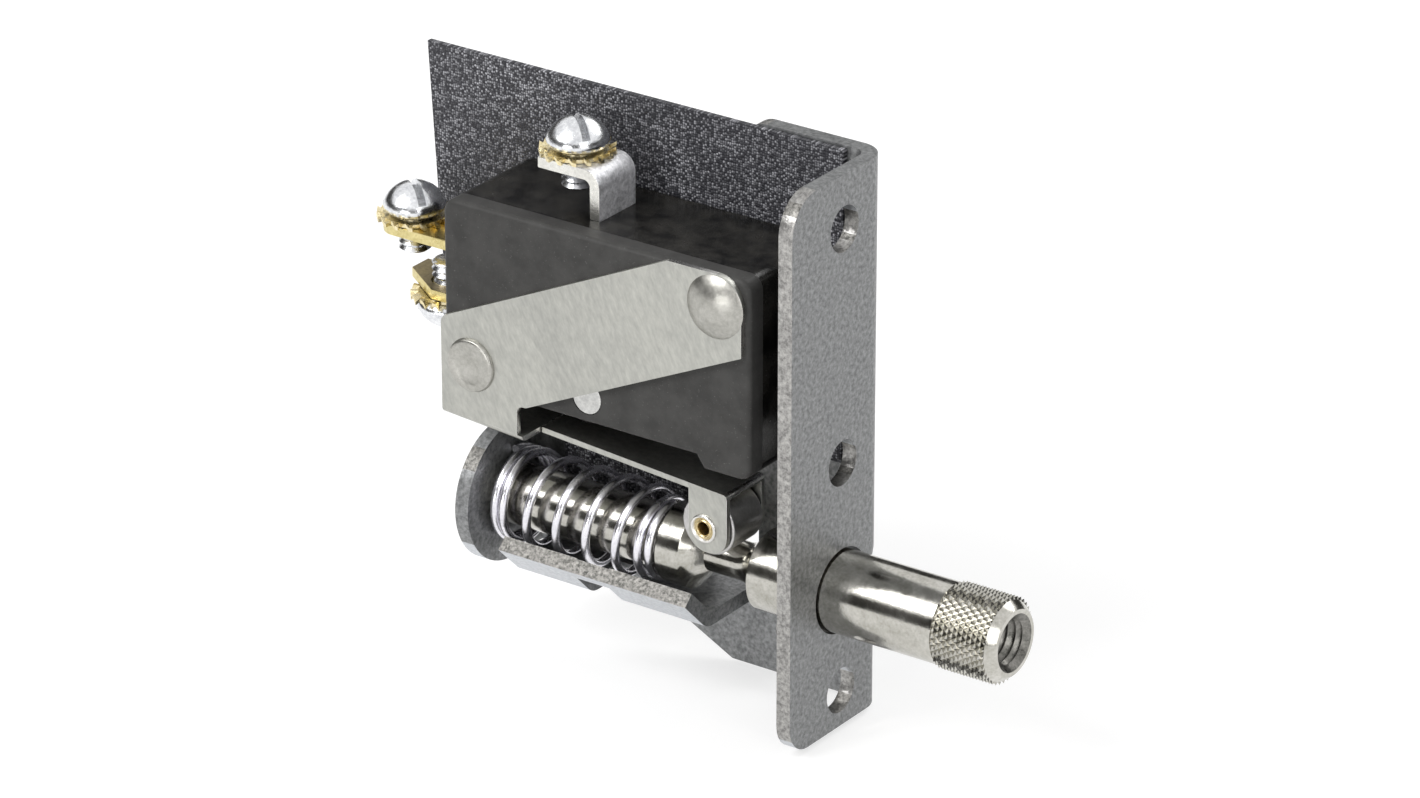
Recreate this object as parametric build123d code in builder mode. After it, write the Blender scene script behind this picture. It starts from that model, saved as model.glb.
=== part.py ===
"""Panel-mounted interlock switch with a spring-loaded plunger.

Millimetres. The origin is the centre of the middle mounting hole, on the outer face
of the flange. +X points out of the panel along the plunger, +Z is up, and +Y points
to the back plate of the bracket. Lengths along the plunger are measured from the
inner face of the tab that carries its tail, and heights of the switch from its axis.
"""
import os
from math import atan, cos, pi, radians, sin, tan

from build123d import *

os.makedirs("parts", exist_ok=True)

# Bracket: one folded sheet with a flange, a back plate, a tab and a shelf
sheet = 1.2
bend_inside = 1.0
flange_width = 12.4
plate_setback = 5.75
flange_above = 22.85
flange_below = 21.55
mounting_pitch = 18.6
mounting_hole_d = 3.6
flange_top_corner = 3.0
flange_bottom_corner = 2.4
rod_drop = 10.35
tab_radius = 5.6
tab_relief = 0.8
tab_root = 0.5
plate_top_length = 12.0
plate_step_drop = 8.2
plate_corner = 2.0
plate_left_reach = 0.6
plate_shoulder = 4.5
plate_band = 0.8
plate_foot_length = 13.0
plate_foot_slope = 27.0
window_above_rod = 6.6
window_start = 2.1
window_length = 17.6
window_corner = 0.8
shelf_gap = 0.37
shelf_front_gap = 0.2
shelf_front_angle = 45.0
shelf_front_reach = 4.8
shelf_front_bend = 0.6
shelf_bend = 0.5
shelf_end_clearance = 0.15
shelf_slot_start = 9.0
shelf_slot_length = 3.0
shelf_slot_depth = 5.6
shelf_lip = 0.8
notch_height = 3.6
notch_corner = 0.9
notch_wall = 0.7
tooling_hole_d = 3.0
tooling_hole_inset = 7.5
tooling_hole_drop = 7.6

# Plunger rod, its spring and its retaining ring
rod_r = 3.175
tail_r = 2.45
neck_r = 1.5
tail_length = 1.75
tail_chamfer = 0.3
shoulder_start = 15.5
shoulder_length = 2.2
entry_cone_length = 1.2
groove_flat_end = 21.6
groove_end = 23.9
knurl_start = 39.8
knurl_length = 5.0
knurl_r = 3.38
rod_end = 45.5
end_chamfer = 0.7
tapped_r = 1.75
tapped_depth = 9.0
tapped_mouth = 0.5
tab_fit = 0.06
flange_fit = 0.2
ring_r = 3.5
ring_thickness = 0.6
ring_groove_r = 1.85
ring_play = 0.05
ring_fit = 0.03
ring_slot = 3.3
spring_r = 3.48
wire_r = 0.35
spring_turns = 4
spring_closed_turns = 2
spring_seat_gap = 0.05
spring_closed_pitch = 0.75
spring_seat_r = 2.95
spring_last_pitch = 1.45
spring_steps = 12

# Snap-action switch: moulded case and cover
case_length = 27.8
case_height = 15.9
case_width = 10.3
case_left = 1.4
case_above_rod = 10.0
case_end_gap = 2.7
foot_height = 1.0
foot_length = 4.9
foot_ramp = 0.7
cover_thickness = 1.6
case_wall = 1.5
case_corner = 1.1
case_edge = 0.4
rivet_pitch_z = 10.3
rivet_from_end = 2.8
rivet_from_foot = 3.2
boss_r = 2.15
pin_shank_r = 0.7
pin_boss_r = 1.05
pin_head_r = 1.3
pin_head = 0.6
pin_fit = 0.03
lower_pin = (11.7, 13.0)
upper_pin = (13.6, 22.0)

# Insulating barrier between the switch and the back plate
barrier_sheet = 0.5
barrier_rise = 33.0
barrier_left = 10.5
barrier_taper = 1.6
barrier_foot = 8.0
barrier_end_gap = 2.9
barrier_flap_start = 2.6
barrier_flap_length = 13.4
barrier_flap_below = 3.5

# Button, snap blade and contacts
button_x = 8.7
button_r = 1.5
button_fit = 0.07
button_gap = 0.08
button_collar_r = 1.7
button_collar_height = 0.8
button_collar_gap = 0.1
button_stem_r = 0.95
button_dome = 0.6
blade_sheet = 0.2
blade_width = 3.6
blade_end_gap = 0.1
blade_window_start = 11.4
blade_anchor_band = 2.6
blade_window_width = 1.9
tongue_width = 1.5
tongue_bow = 1.0
tongue_gap = 1.8
contact_place = 1.9
contact_r = 1.25
contact_head = 0.4
contact_stem_r = 0.8
contact_gap = 0.5
contact_rest_gap = 0.05
fixed_contact_head = 0.35
blade_margin = 1.4

# Terminals, their screws and toothed washers
terminal_width = 4.6
common_sheet = 0.9
end_sheet = 0.8
terminal_bend = 0.5
terminal_fit = 0.05
common_leg = 10.0
common_top = 29.8
common_reach = 5.6
common_screw = 7.3
common_run = 19.0
common_anchor_inset = 3.1
common_anchor_drop = 16.4
open_top = 20.9
open_reach = 8.7
open_screw = 6.6
closed_top = 16.6
closed_reach = 7.2
closed_screw = 3.5
end_strap_inside = 3.4
terminal_corner = 1.7
closed_chamfer_x = 3.8
closed_chamfer_y = 2.6
screw_r = 1.25
screw_head_r = 2.5
screw_head_height = 2.35
screw_head_rim = 0.95
screw_slot_width = 0.9
screw_slot_depth = 1.25
screw_slot_turn = 49.0
screw_reach = 1.7
screw_lead = 0.3
screw_fit = 0.05
washer_r = 2.55
washer_tooth = 0.55
washer_sheet = 0.5
washer_teeth = 12
washer_tooth_width = 0.75
washer_fit = 0.1

# Actuator: riveted side plate, sprung leaf and roller
strip_sheet = 0.45
side_plate_half = 4.15
side_plate_left = 1.4
side_plate_past_rivet = 2.3
side_plate_rise = 0.2
side_plate_corner = 2.2
side_plate_leg = 5.6
side_plate_relief = 0.8
fold_radius = 0.5
rivet_r = 1.4
rivet_fit = 0.06
far_rivet_head_r = 2.5
near_rivet_head_r = 2.15
far_rivet_dome = 0.85
near_rivet_dome = 0.35
rivet_tail_r = 2.3
rivet_tail_height = 0.7
leaf_setback = 2.35
leaf_width = 4.9
leaf_root = 6.15
leaf_root_height = 8.5
leaf_slope = 4.0
leaf_root_gap = 0.1
ear_left = 19.55
ear_right = 23.0
ear_below_pin = 1.9
ear_corner = 1.55
roller_place = 20.95
roller_height = 4.17
roller_r = 2.35
roller_side_gap = 0.12
roller_bore_fit = 0.05
roller_pin_r = 0.95
roller_pin_bore_r = 0.5
roller_pin_fit = 0.02
roller_pin_head_r = 1.3
roller_pin_head = 0.22

# Places that follow from the sizes above
flange_front_y = plate_setback - flange_width
plate_inner_y = plate_setback - sheet
bend_outside = bend_inside + sheet
rod_z = -rod_drop
tab_x = case_left - case_length - case_end_gap - sheet
case_back_y = plate_inner_y - barrier_sheet
case_front_y = case_back_y - case_width
case_mid_y = (case_back_y + case_front_y) / 2
cover_back_y = case_front_y + cover_thickness
case_left_x = tab_x - case_left
case_right_x = case_left_x + case_length
case_foot_z = rod_z + case_above_rod
case_bottom_z = case_foot_z + foot_height
case_top_z = case_foot_z + case_height
near_rivet = (case_left_x + rivet_from_end, case_foot_z + rivet_from_foot)
far_rivet = (case_right_x - rivet_from_end, near_rivet[1] + rivet_pitch_z)
pin_spots = [(tab_x + x, rod_z + z) for x, z in (lower_pin, upper_pin)]
side_plate_y = case_front_y - strip_sheet
leaf_front_y = side_plate_y + leaf_setback
leaf_back_y = leaf_front_y + leaf_width
leaf_root_x = tab_x + leaf_root
leaf_root_z = rod_z + leaf_root_height
roller_x = tab_x + roller_place
roller_z = rod_z + roller_height
button_axis_x = tab_x + button_x
closed_face_z = rod_z + closed_top + fixed_contact_head
blade_z = closed_face_z + contact_rest_gap + contact_head + blade_sheet / 2
rod_plane = Plane(origin=(tab_x, 0, rod_z), x_dir=(1, 0, 0), z_dir=(0, -1, 0))
rod_axis = Axis((tab_x, 0, rod_z), (1, 0, 0))


def facing_front(y):
    """The upright plane at this depth, with X to the right and Z up."""
    return Plane.XZ.offset(-y)


def leaf_top(x):
    """Height of the sloping leaf's upper face at this X."""
    return leaf_root_z - (x - leaf_root_x) * tan(radians(leaf_slope))


# Tab of the bracket: carries the tail of the plunger and is bent off the back plate
tab_bend_x = tab_x + bend_inside
tab_root_x = tab_bend_x + tab_root
with BuildPart() as tab_fold:
    with BuildSketch(Plane.XY.offset(rod_z - tab_radius)) as tab_profile:
        with BuildLine():
            Polyline(
                (tab_x - sheet, -tab_radius),
                (tab_x - sheet, plate_setback),
                (tab_root_x, plate_setback),
                (tab_root_x, plate_inner_y),
                (tab_x, plate_inner_y),
                (tab_x, -tab_radius),
                close=True,
            )
        make_face()
        fillet(tab_profile.vertices().group_by(Axis.X)[0].sort_by(Axis.Y)[-1], bend_outside)
        inner_corner = tab_profile.vertices().sort_by_distance((tab_x, plate_inner_y))[0]
        fillet(inner_corner, bend_inside)
    extrude(amount=2 * tab_radius)
    with BuildSketch(Plane.YZ.offset(tab_x - sheet)):
        with Locations((0, rod_z)):
            Circle(tab_radius)
        with Locations((plate_setback / 2, rod_z)):
            Rectangle(plate_setback, 2 * tab_radius)
    extrude(amount=tab_root_x - tab_x + sheet, mode=Mode.INTERSECT)
    with BuildSketch(Plane.YZ.offset(tab_x - sheet)):
        with Locations((0, rod_z)):
            Circle(tail_r + tab_fit)
    extrude(amount=sheet, mode=Mode.SUBTRACT)

# Shelf of the bracket: lanced out of the window, it runs under the spring and its
# front edge is turned up along it
shelf_top = spring_r + wire_r + shelf_gap
shelf_front = spring_r + wire_r + shelf_front_gap
front_sin = sin(radians(shelf_front_angle))
front_cos = cos(radians(shelf_front_angle))
shelf_x = tab_x + window_start + shelf_end_clearance
shelf_length = window_length - 2 * shelf_end_clearance
shelf_root_z = rod_z - shelf_top - sheet - plate_band
inner_knee_y = (shelf_top * front_cos - shelf_front) / front_sin
outer_knee_y = ((shelf_top + sheet) * front_cos - shelf_front - sheet) / front_sin
lip_drop = (shelf_front + sheet - shelf_front_reach * front_sin) / front_cos
with BuildPart() as shelf_fold:
    with BuildSketch(Plane.YZ.offset(shelf_x)) as shelf_profile:
        with BuildLine():
            Polyline(
                (plate_setback, shelf_root_z),
                (plate_setback, rod_z - shelf_top),
                (inner_knee_y, rod_z - shelf_top),
                (sheet * front_sin - shelf_front_reach, rod_z - lip_drop + sheet * front_cos),
                (-shelf_front_reach, rod_z - lip_drop),
                (outer_knee_y, rod_z - shelf_top - sheet),
                (plate_inner_y, rod_z - shelf_top - sheet),
                (plate_inner_y, shelf_root_z),
                close=True,
            )
        make_face()
        bends = [
            ((plate_setback, rod_z - shelf_top), shelf_bend + sheet),
            ((plate_inner_y, rod_z - shelf_top - sheet), shelf_bend),
            ((inner_knee_y, rod_z - shelf_top), shelf_front_bend),
            ((outer_knee_y, rod_z - shelf_top - sheet), shelf_front_bend + sheet),
        ]
        for corner, bend_radius in bends:
            fillet(shelf_profile.vertices().sort_by_distance(corner)[0], bend_radius)
    extrude(amount=shelf_length)
    slot_front_y = -shelf_front_reach + shelf_lip
    with BuildSketch(Plane.XY.offset(rod_z)):
        with Locations((tab_x + shelf_slot_start, slot_front_y)):
            Rectangle(shelf_slot_length, shelf_slot_depth, align=(Align.MIN, Align.MIN))
    extrude(amount=-2 * shelf_top, mode=Mode.SUBTRACT)

# Bracket: flange and back plate, joined to the tab and the shelf
plate_left_x = tab_x - sheet - plate_left_reach
foot_rise = shelf_root_z + flange_below
foot_run = foot_rise / tan(radians(plate_foot_slope))
with BuildPart() as bracket:
    with BuildSketch(Plane.XY.offset(-flange_below)) as channel:
        with BuildLine():
            Polyline(
                (0, flange_front_y),
                (0, plate_setback),
                (plate_left_x, plate_setback),
                (plate_left_x, plate_inner_y),
                (-sheet, plate_inner_y),
                (-sheet, flange_front_y),
                close=True,
            )
        make_face()
        fillet(channel.vertices().group_by(Axis.X)[-1].sort_by(Axis.Y)[-1], bend_outside)
        inner_corner = channel.vertices().sort_by_distance((-sheet, plate_inner_y))[0]
        fillet(inner_corner, bend_inside)
    extrude(amount=flange_below + flange_above)
    with BuildSketch(Plane.XZ) as plate_outline:
        with BuildLine():
            Polyline(
                (0, flange_above),
                (-plate_top_length, flange_above),
                (-plate_top_length, flange_above - plate_step_drop),
                (plate_left_x, near_rivet[1] + plate_shoulder),
                (plate_left_x, rod_z + tab_radius + tab_relief),
                (tab_bend_x, rod_z + tab_radius + tab_relief),
                (tab_bend_x, shelf_root_z),
                (-plate_foot_length - foot_run, shelf_root_z),
                (-plate_foot_length, -flange_below),
                (0, -flange_below),
                close=True,
            )
        make_face()
        top_left = (-plate_top_length, flange_above)
        step = (-plate_top_length, flange_above - plate_step_drop)
        shoulder = (plate_left_x, near_rivet[1] + plate_shoulder)
        for corner in (top_left, step, shoulder):
            fillet(plate_outline.vertices().sort_by_distance(corner)[0], plate_corner)
    extrude(amount=flange_width, both=True, mode=Mode.INTERSECT)
    with BuildSketch(Plane.YZ.offset(plate_left_x)) as flange_outline:
        with Locations((flange_front_y, -flange_below)):
            Rectangle(flange_width, flange_above + flange_below, align=(Align.MIN, Align.MIN))
        top_corner = flange_outline.vertices().sort_by_distance((flange_front_y, flange_above))[0]
        fillet(top_corner, flange_top_corner)
        bottom_corner = flange_outline.vertices().sort_by_distance((flange_front_y, -flange_below))[0]
        fillet(bottom_corner, flange_bottom_corner)
    extrude(amount=-plate_left_x, mode=Mode.INTERSECT)
    add(tab_fold.part)
    with BuildSketch(facing_front(plate_inner_y)) as window:
        window_z = rod_z - shelf_top
        with Locations((tab_x + window_start, window_z)):
            RectangleRounded(
                window_length,
                window_above_rod + shelf_top,
                window_corner,
                align=(Align.MIN, Align.MIN),
            )
        with Locations((tab_x + window_start, window_z)):
            Rectangle(window_length, 2 * window_corner, align=(Align.MIN, Align.MIN))
    extrude(amount=-sheet, mode=Mode.SUBTRACT)
    with BuildSketch(facing_front(plate_inner_y)):
        with Locations((tab_x + window_start, window_z)):
            Rectangle(window_length, window_z - shelf_root_z, align=(Align.MIN, Align.MAX))
    extrude(amount=-sheet, mode=Mode.SUBTRACT)
    add(shelf_fold.part)
    with BuildSketch(Plane.YZ.offset(-sheet)):
        with Locations((0, -mounting_pitch), (0, 0), (0, mounting_pitch)):
            Circle(mounting_hole_d / 2)
        with Locations((0, rod_z)):
            Circle(rod_r + flange_fit)
    extrude(amount=sheet, mode=Mode.SUBTRACT)
    with BuildSketch(Plane.YZ.offset(-bend_outside - notch_wall)) as notch:
        with Locations((rod_r + flange_fit + notch_wall, rod_z)):
            RectangleRounded(flange_width, notch_height, notch_corner, align=(Align.MIN, Align.CENTER))
    extrude(amount=bend_outside + notch_wall, mode=Mode.SUBTRACT)
    with BuildSketch(facing_front(plate_inner_y)):
        with Locations((-tooling_hole_inset, rod_z - tooling_hole_drop)):
            Circle(tooling_hole_d / 2)
        with Locations(near_rivet, far_rivet):
            Circle(rivet_r + rivet_fit)
    extrude(amount=-sheet, mode=Mode.SUBTRACT)
bracket.part.label = "bracket"
export_step(bracket.part, "parts/bracket.step")

# Insulating barrier: a stiff sheet of glass-cloth laminate between the switch and the plate
barrier_bottom_z = rod_z + barrier_foot
with BuildPart() as insulating_barrier:
    with BuildSketch(facing_front(case_back_y)):
        with BuildLine():
            Polyline(
                (tab_x - barrier_left, rod_z + barrier_rise),
                (-barrier_end_gap, rod_z + barrier_rise),
                (-barrier_end_gap, barrier_bottom_z),
                (tab_x + barrier_flap_start + barrier_flap_length, barrier_bottom_z),
                (tab_x + barrier_flap_start + barrier_flap_length, rod_z - barrier_flap_below),
                (tab_x + barrier_flap_start, rod_z - barrier_flap_below),
                (tab_x + barrier_flap_start, barrier_bottom_z),
                (tab_x - barrier_left + barrier_taper, barrier_bottom_z),
                close=True,
            )
        make_face()
        with Locations(near_rivet, far_rivet):
            Circle(rivet_r + rivet_fit, mode=Mode.SUBTRACT)
    extrude(amount=-barrier_sheet)
insulating_barrier.part.label = "insulating_barrier"
export_step(insulating_barrier.part, "parts/insulating_barrier.step")

# Moulded outline of the switch, with a foot at each end of its lower side
with BuildSketch() as case_outline:
    with BuildLine():
        Polyline(
            (case_left_x, case_foot_z),
            (case_left_x + foot_length - foot_ramp, case_foot_z),
            (case_left_x + foot_length, case_bottom_z),
            (case_right_x - foot_length, case_bottom_z),
            (case_right_x - foot_length + foot_ramp, case_foot_z),
            (case_right_x, case_foot_z),
            (case_right_x, case_top_z),
            (case_left_x, case_top_z),
            close=True,
        )
    make_face()
    ends = case_outline.vertices().group_by(Axis.X)
    fillet(ends[0] + ends[-1], case_corner)

# Case: the rear tray of the switch, with bosses round its rivets and pins
cavity_left = case_left_x + case_wall
cavity_right = case_right_x - case_wall
cavity_floor = case_bottom_z + case_wall
cavity_roof = case_top_z - case_wall
cavity_back_y = case_back_y - case_wall
strap_hole = terminal_width + 2 * terminal_fit
with BuildPart() as switch_case:
    with BuildSketch(facing_front(case_back_y)):
        add(case_outline.sketch)
    extrude(amount=case_width - cover_thickness)
    back_edges = switch_case.faces().sort_by(Axis.Y)[-1].edges()
    fillet(back_edges, case_edge)
    with BuildSketch(facing_front(cavity_back_y)) as cavity:
        with Locations((cavity_left, cavity_floor)):
            Rectangle(
                cavity_right - cavity_left,
                cavity_roof - cavity_floor,
                align=(Align.MIN, Align.MIN),
            )
        with Locations(near_rivet, far_rivet):
            Circle(boss_r, mode=Mode.SUBTRACT)
        with Locations(*pin_spots):
            Circle(pin_boss_r, mode=Mode.SUBTRACT)
    extrude(amount=cavity_back_y - cover_back_y, mode=Mode.SUBTRACT)
    with BuildSketch(facing_front(case_back_y)):
        with Locations(near_rivet, far_rivet):
            Circle(rivet_r + rivet_fit)
        with Locations(*pin_spots):
            Circle(pin_shank_r + pin_fit)
    extrude(amount=case_width, mode=Mode.SUBTRACT)
    with BuildSketch(Plane.XY.offset(case_bottom_z)):
        with Locations((button_axis_x, case_mid_y)):
            Circle(button_r + button_fit)
    extrude(amount=case_wall, mode=Mode.SUBTRACT)
    with BuildSketch(Plane.XY.offset(cavity_roof)):
        with Locations((tab_x + common_leg + common_sheet / 2, case_mid_y)):
            Rectangle(common_sheet + 2 * terminal_fit, strap_hole)
    extrude(amount=case_wall, mode=Mode.SUBTRACT)
    with BuildSketch(Plane.YZ.offset(case_left_x)):
        for strap_top in (open_top, closed_top):
            with Locations((case_mid_y, rod_z + strap_top - end_sheet / 2)):
                Rectangle(strap_hole, end_sheet + 2 * terminal_fit)
    extrude(amount=case_wall, mode=Mode.SUBTRACT)
switch_case.part.label = "switch_case"
export_step(switch_case.part, "parts/switch_case.step")

# Cover: the front plate of the switch
with BuildPart() as switch_cover:
    with BuildSketch(facing_front(cover_back_y)):
        add(case_outline.sketch)
        with Locations(near_rivet, far_rivet):
            Circle(rivet_r + rivet_fit, mode=Mode.SUBTRACT)
        with Locations(*pin_spots):
            Circle(pin_shank_r + pin_fit, mode=Mode.SUBTRACT)
    extrude(amount=cover_thickness)
    with BuildSketch(facing_front(case_front_y)):
        with Locations(*pin_spots):
            Circle(pin_head_r + pin_fit)
    extrude(amount=-pin_head, mode=Mode.SUBTRACT)
    front_rim = switch_cover.faces().sort_by(Axis.Y)[0].outer_wire().edges()
    fillet(front_rim, case_edge)
switch_cover.part.label = "switch_cover"
export_step(switch_cover.part, "parts/switch_cover.step")

# Cover pins: two headed pins that hold the cover to the case, their heads let in flush
pin_bottom_y = cavity_back_y + case_wall / 2
for pin_number, (pin_x, pin_z) in enumerate(pin_spots, start=1):
    pin_name = ("lower_cover_pin", "upper_cover_pin")[pin_number - 1]
    with BuildPart() as cover_pin:
        with BuildSketch(Plane(origin=(pin_x, 0, pin_z), x_dir=(1, 0, 0), z_dir=(0, 0, 1))):
            with BuildLine():
                Polyline(
                    (0, case_front_y),
                    (pin_head_r, case_front_y),
                    (pin_head_r, case_front_y + pin_head),
                    (pin_shank_r, case_front_y + pin_head),
                    (pin_shank_r, pin_bottom_y),
                    (0, pin_bottom_y),
                    close=True,
                )
            make_face()
        revolve(axis=Axis((pin_x, 0, pin_z), (0, 1, 0)))
    cover_pin.part.label = pin_name
    export_step(cover_pin.part, f"parts/{pin_name}.step")

anchor_x = case_right_x - common_anchor_inset

# Common terminal: one stamped strap, bent over the case top for its screw, that runs
# inside to the anchor of the snap blade
with BuildPart() as common_terminal:
    leg_x = tab_x + common_leg
    run_z = rod_z + common_run
    with BuildSketch(facing_front(case_mid_y)) as strap_side:
        with BuildLine():
            Polyline(
                (leg_x + common_sheet - common_reach, rod_z + common_top),
                (leg_x + common_sheet, rod_z + common_top),
                (leg_x + common_sheet, run_z + common_sheet),
                (anchor_x + common_sheet, run_z + common_sheet),
                (anchor_x + common_sheet, rod_z + common_anchor_drop),
                (anchor_x, rod_z + common_anchor_drop),
                (anchor_x, run_z),
                (leg_x, run_z),
                (leg_x, rod_z + common_top - common_sheet),
                (leg_x + common_sheet - common_reach, rod_z + common_top - common_sheet),
                close=True,
            )
        make_face()
        outside_bends = [
            (leg_x + common_sheet, rod_z + common_top),
            (anchor_x + common_sheet, run_z + common_sheet),
            (leg_x, run_z),
        ]
        inside_bends = [
            (leg_x, rod_z + common_top - common_sheet),
            (anchor_x, run_z),
            (leg_x + common_sheet, run_z + common_sheet),
        ]
        for corner in outside_bends:
            fillet(strap_side.vertices().sort_by_distance(corner)[0], terminal_bend + common_sheet)
        for corner in inside_bends:
            fillet(strap_side.vertices().sort_by_distance(corner)[0], terminal_bend)
    extrude(amount=terminal_width / 2, both=True)
    with BuildSketch(Plane.XY.offset(rod_z + common_top)):
        with Locations((tab_x + common_screw, case_mid_y)):
            Circle(screw_r + screw_fit)
    extrude(amount=-common_sheet, mode=Mode.SUBTRACT)
common_terminal.part.label = "common_terminal"
export_step(common_terminal.part, "parts/common_terminal.step")

# End terminals: flat straps through the end wall, each with a contact riveted inside
end_terminals = [
    ("normally_open_terminal", open_top, open_reach, open_screw),
    ("normally_closed_terminal", closed_top, closed_reach, closed_screw),
]
for name, strap_top, strap_reach, strap_screw in end_terminals:
    strap_left_x = case_left_x - strap_reach
    with BuildPart() as end_terminal:
        with BuildSketch(Plane.XY.offset(rod_z + strap_top)) as strap_face:
            with Locations((strap_left_x, case_mid_y)):
                Rectangle(
                    strap_reach + end_strap_inside + case_wall,
                    terminal_width,
                    align=(Align.MIN, Align.CENTER),
                )
            outer_corners = strap_face.vertices().group_by(Axis.X)[0].sort_by(Axis.Y)
            if name == "normally_closed_terminal":
                front_y = case_mid_y - terminal_width / 2
                with BuildLine(mode=Mode.PRIVATE) as cut_corner:
                    Polyline(
                        (strap_left_x, front_y),
                        (strap_left_x + closed_chamfer_x, front_y),
                        (strap_left_x, front_y + closed_chamfer_y),
                        close=True,
                    )
                make_face(cut_corner.edges(), mode=Mode.SUBTRACT)
            else:
                fillet(outer_corners, terminal_corner)
        extrude(amount=-end_sheet)
        with BuildSketch(Plane.XY.offset(rod_z + strap_top)):
            with Locations((case_left_x - strap_screw, case_mid_y)):
                Circle(screw_r + screw_fit)
            with Locations((tab_x + contact_place, case_mid_y)):
                Circle(contact_stem_r)
        extrude(amount=-end_sheet, mode=Mode.SUBTRACT)
    end_terminal.part.label = name
    export_step(end_terminal.part, f"parts/{name}.step")

# Contacts: silver rivets, one in each end terminal and a double-headed one in the blade
contact_x = tab_x + contact_place
moving_low_z = blade_z - blade_sheet / 2 - contact_head
moving_high_z = blade_z + blade_sheet / 2 + contact_head
open_face_z = moving_high_z + contact_rest_gap + contact_gap
with BuildPart() as closed_contact:
    with BuildSketch(Plane.XY.offset(rod_z + closed_top)):
        with Locations((contact_x, case_mid_y)):
            Circle(contact_r)
    extrude(amount=fixed_contact_head)
    fillet(closed_contact.edges().group_by(Axis.Z)[-1], fixed_contact_head * 0.4)
    with BuildSketch(Plane.XY.offset(rod_z + closed_top)):
        with Locations((contact_x, case_mid_y)):
            Circle(contact_stem_r)
    extrude(amount=-end_sheet)
closed_contact.part.label = "normally_closed_contact"
export_step(closed_contact.part, "parts/normally_closed_contact.step")

with BuildPart() as open_contact:
    with BuildSketch(Plane.XY.offset(open_face_z)):
        with Locations((contact_x, case_mid_y)):
            Circle(contact_r)
    extrude(amount=rod_z + open_top - end_sheet - open_face_z)
    fillet(open_contact.edges().group_by(Axis.Z)[0], fixed_contact_head * 0.4)
    with BuildSketch(Plane.XY.offset(rod_z + open_top)):
        with Locations((contact_x, case_mid_y)):
            Circle(contact_stem_r)
    extrude(amount=-end_sheet)
open_contact.part.label = "normally_open_contact"
export_step(open_contact.part, "parts/normally_open_contact.step")

with BuildPart() as moving_contact:
    with BuildSketch(Plane.XY.offset(moving_low_z)):
        with Locations((contact_x, case_mid_y)):
            Circle(contact_r)
    extrude(amount=contact_head)
    with BuildSketch(Plane.XY.offset(moving_high_z)):
        with Locations((contact_x, case_mid_y)):
            Circle(contact_r)
    extrude(amount=-contact_head)
    rims = moving_contact.edges().filter_by(GeomType.CIRCLE).sort_by(Axis.Z)
    fillet([rims[0], rims[-1]], fixed_contact_head * 0.4)
    with BuildSketch(Plane.XY.offset(moving_low_z)):
        with Locations((contact_x, case_mid_y)):
            Circle(contact_stem_r)
    extrude(amount=moving_high_z - moving_low_z)
moving_contact.part.label = "moving_contact"
export_step(moving_contact.part, "parts/moving_contact.step")

# Snap blade: a thin stamped spring with a bowed tongue in its window
blade_left_x = contact_x - blade_margin
blade_right_x = anchor_x - blade_end_gap
window_x = tab_x + blade_window_start
blade_window_length = blade_right_x - blade_anchor_band - window_x
tongue_length = blade_window_length - tongue_gap
with BuildPart() as snap_blade:
    with BuildSketch(Plane.XY.offset(blade_z - blade_sheet / 2)) as blade_face:
        with Locations((blade_left_x, case_mid_y)):
            Rectangle(blade_right_x - blade_left_x, blade_width, align=(Align.MIN, Align.CENTER))
        fillet(blade_face.vertices().group_by(Axis.X)[0], blade_margin / 2)
        with Locations((window_x, case_mid_y)):
            Rectangle(
                blade_window_length,
                blade_window_width,
                align=(Align.MIN, Align.CENTER),
                mode=Mode.SUBTRACT,
            )
        with Locations((contact_x, case_mid_y)):
            Circle(contact_stem_r, mode=Mode.SUBTRACT)
    extrude(amount=blade_sheet)
    with BuildSketch(facing_front(case_mid_y)):
        with BuildLine():
            bow = ThreePointArc(
                (window_x - blade_sheet, blade_z - blade_sheet / 2),
                (window_x + tongue_length / 2, blade_z + tongue_bow - blade_sheet / 2),
                (window_x + tongue_length, blade_z - blade_sheet / 2),
            )
            Line(bow @ 1, (window_x + tongue_length, blade_z + blade_sheet / 2))
            ThreePointArc(
                (window_x + tongue_length, blade_z + blade_sheet / 2),
                (window_x + tongue_length / 2, blade_z + tongue_bow + blade_sheet / 2),
                (window_x - blade_sheet, blade_z + blade_sheet / 2),
            )
            Line((window_x - blade_sheet, blade_z + blade_sheet / 2), bow @ 0)
        make_face()
    extrude(amount=tongue_width / 2, both=True)
snap_blade.part.label = "snap_blade"
export_step(snap_blade.part, "parts/snap_blade.step")

# Button: a turned plastic plunger with a collar inside the case
button_top_z = blade_z - blade_sheet / 2 - button_gap
button_tip_z = leaf_top(button_axis_x) + button_gap
collar_z = cavity_floor + button_collar_gap
with BuildPart() as switch_button:
    with BuildSketch(Plane(origin=(button_axis_x, case_mid_y, 0), x_dir=(1, 0, 0), z_dir=(0, -1, 0))):
        with BuildLine():
            dome = TangentArc(
                (0, button_tip_z),
                (button_r, button_tip_z + button_dome),
                tangent=(1, 0),
            )
            Polyline(
                dome @ 1,
                (button_r, collar_z),
                (button_collar_r, collar_z),
                (button_collar_r, collar_z + button_collar_height),
                (button_stem_r, collar_z + button_collar_height),
                (button_stem_r, button_top_z),
                (0, button_top_z),
                (0, button_tip_z),
            )
        make_face()
    revolve(axis=Axis((button_axis_x, case_mid_y, 0), (0, 0, 1)))
switch_button.part.label = "switch_button"
export_step(switch_button.part, "parts/switch_button.step")

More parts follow.
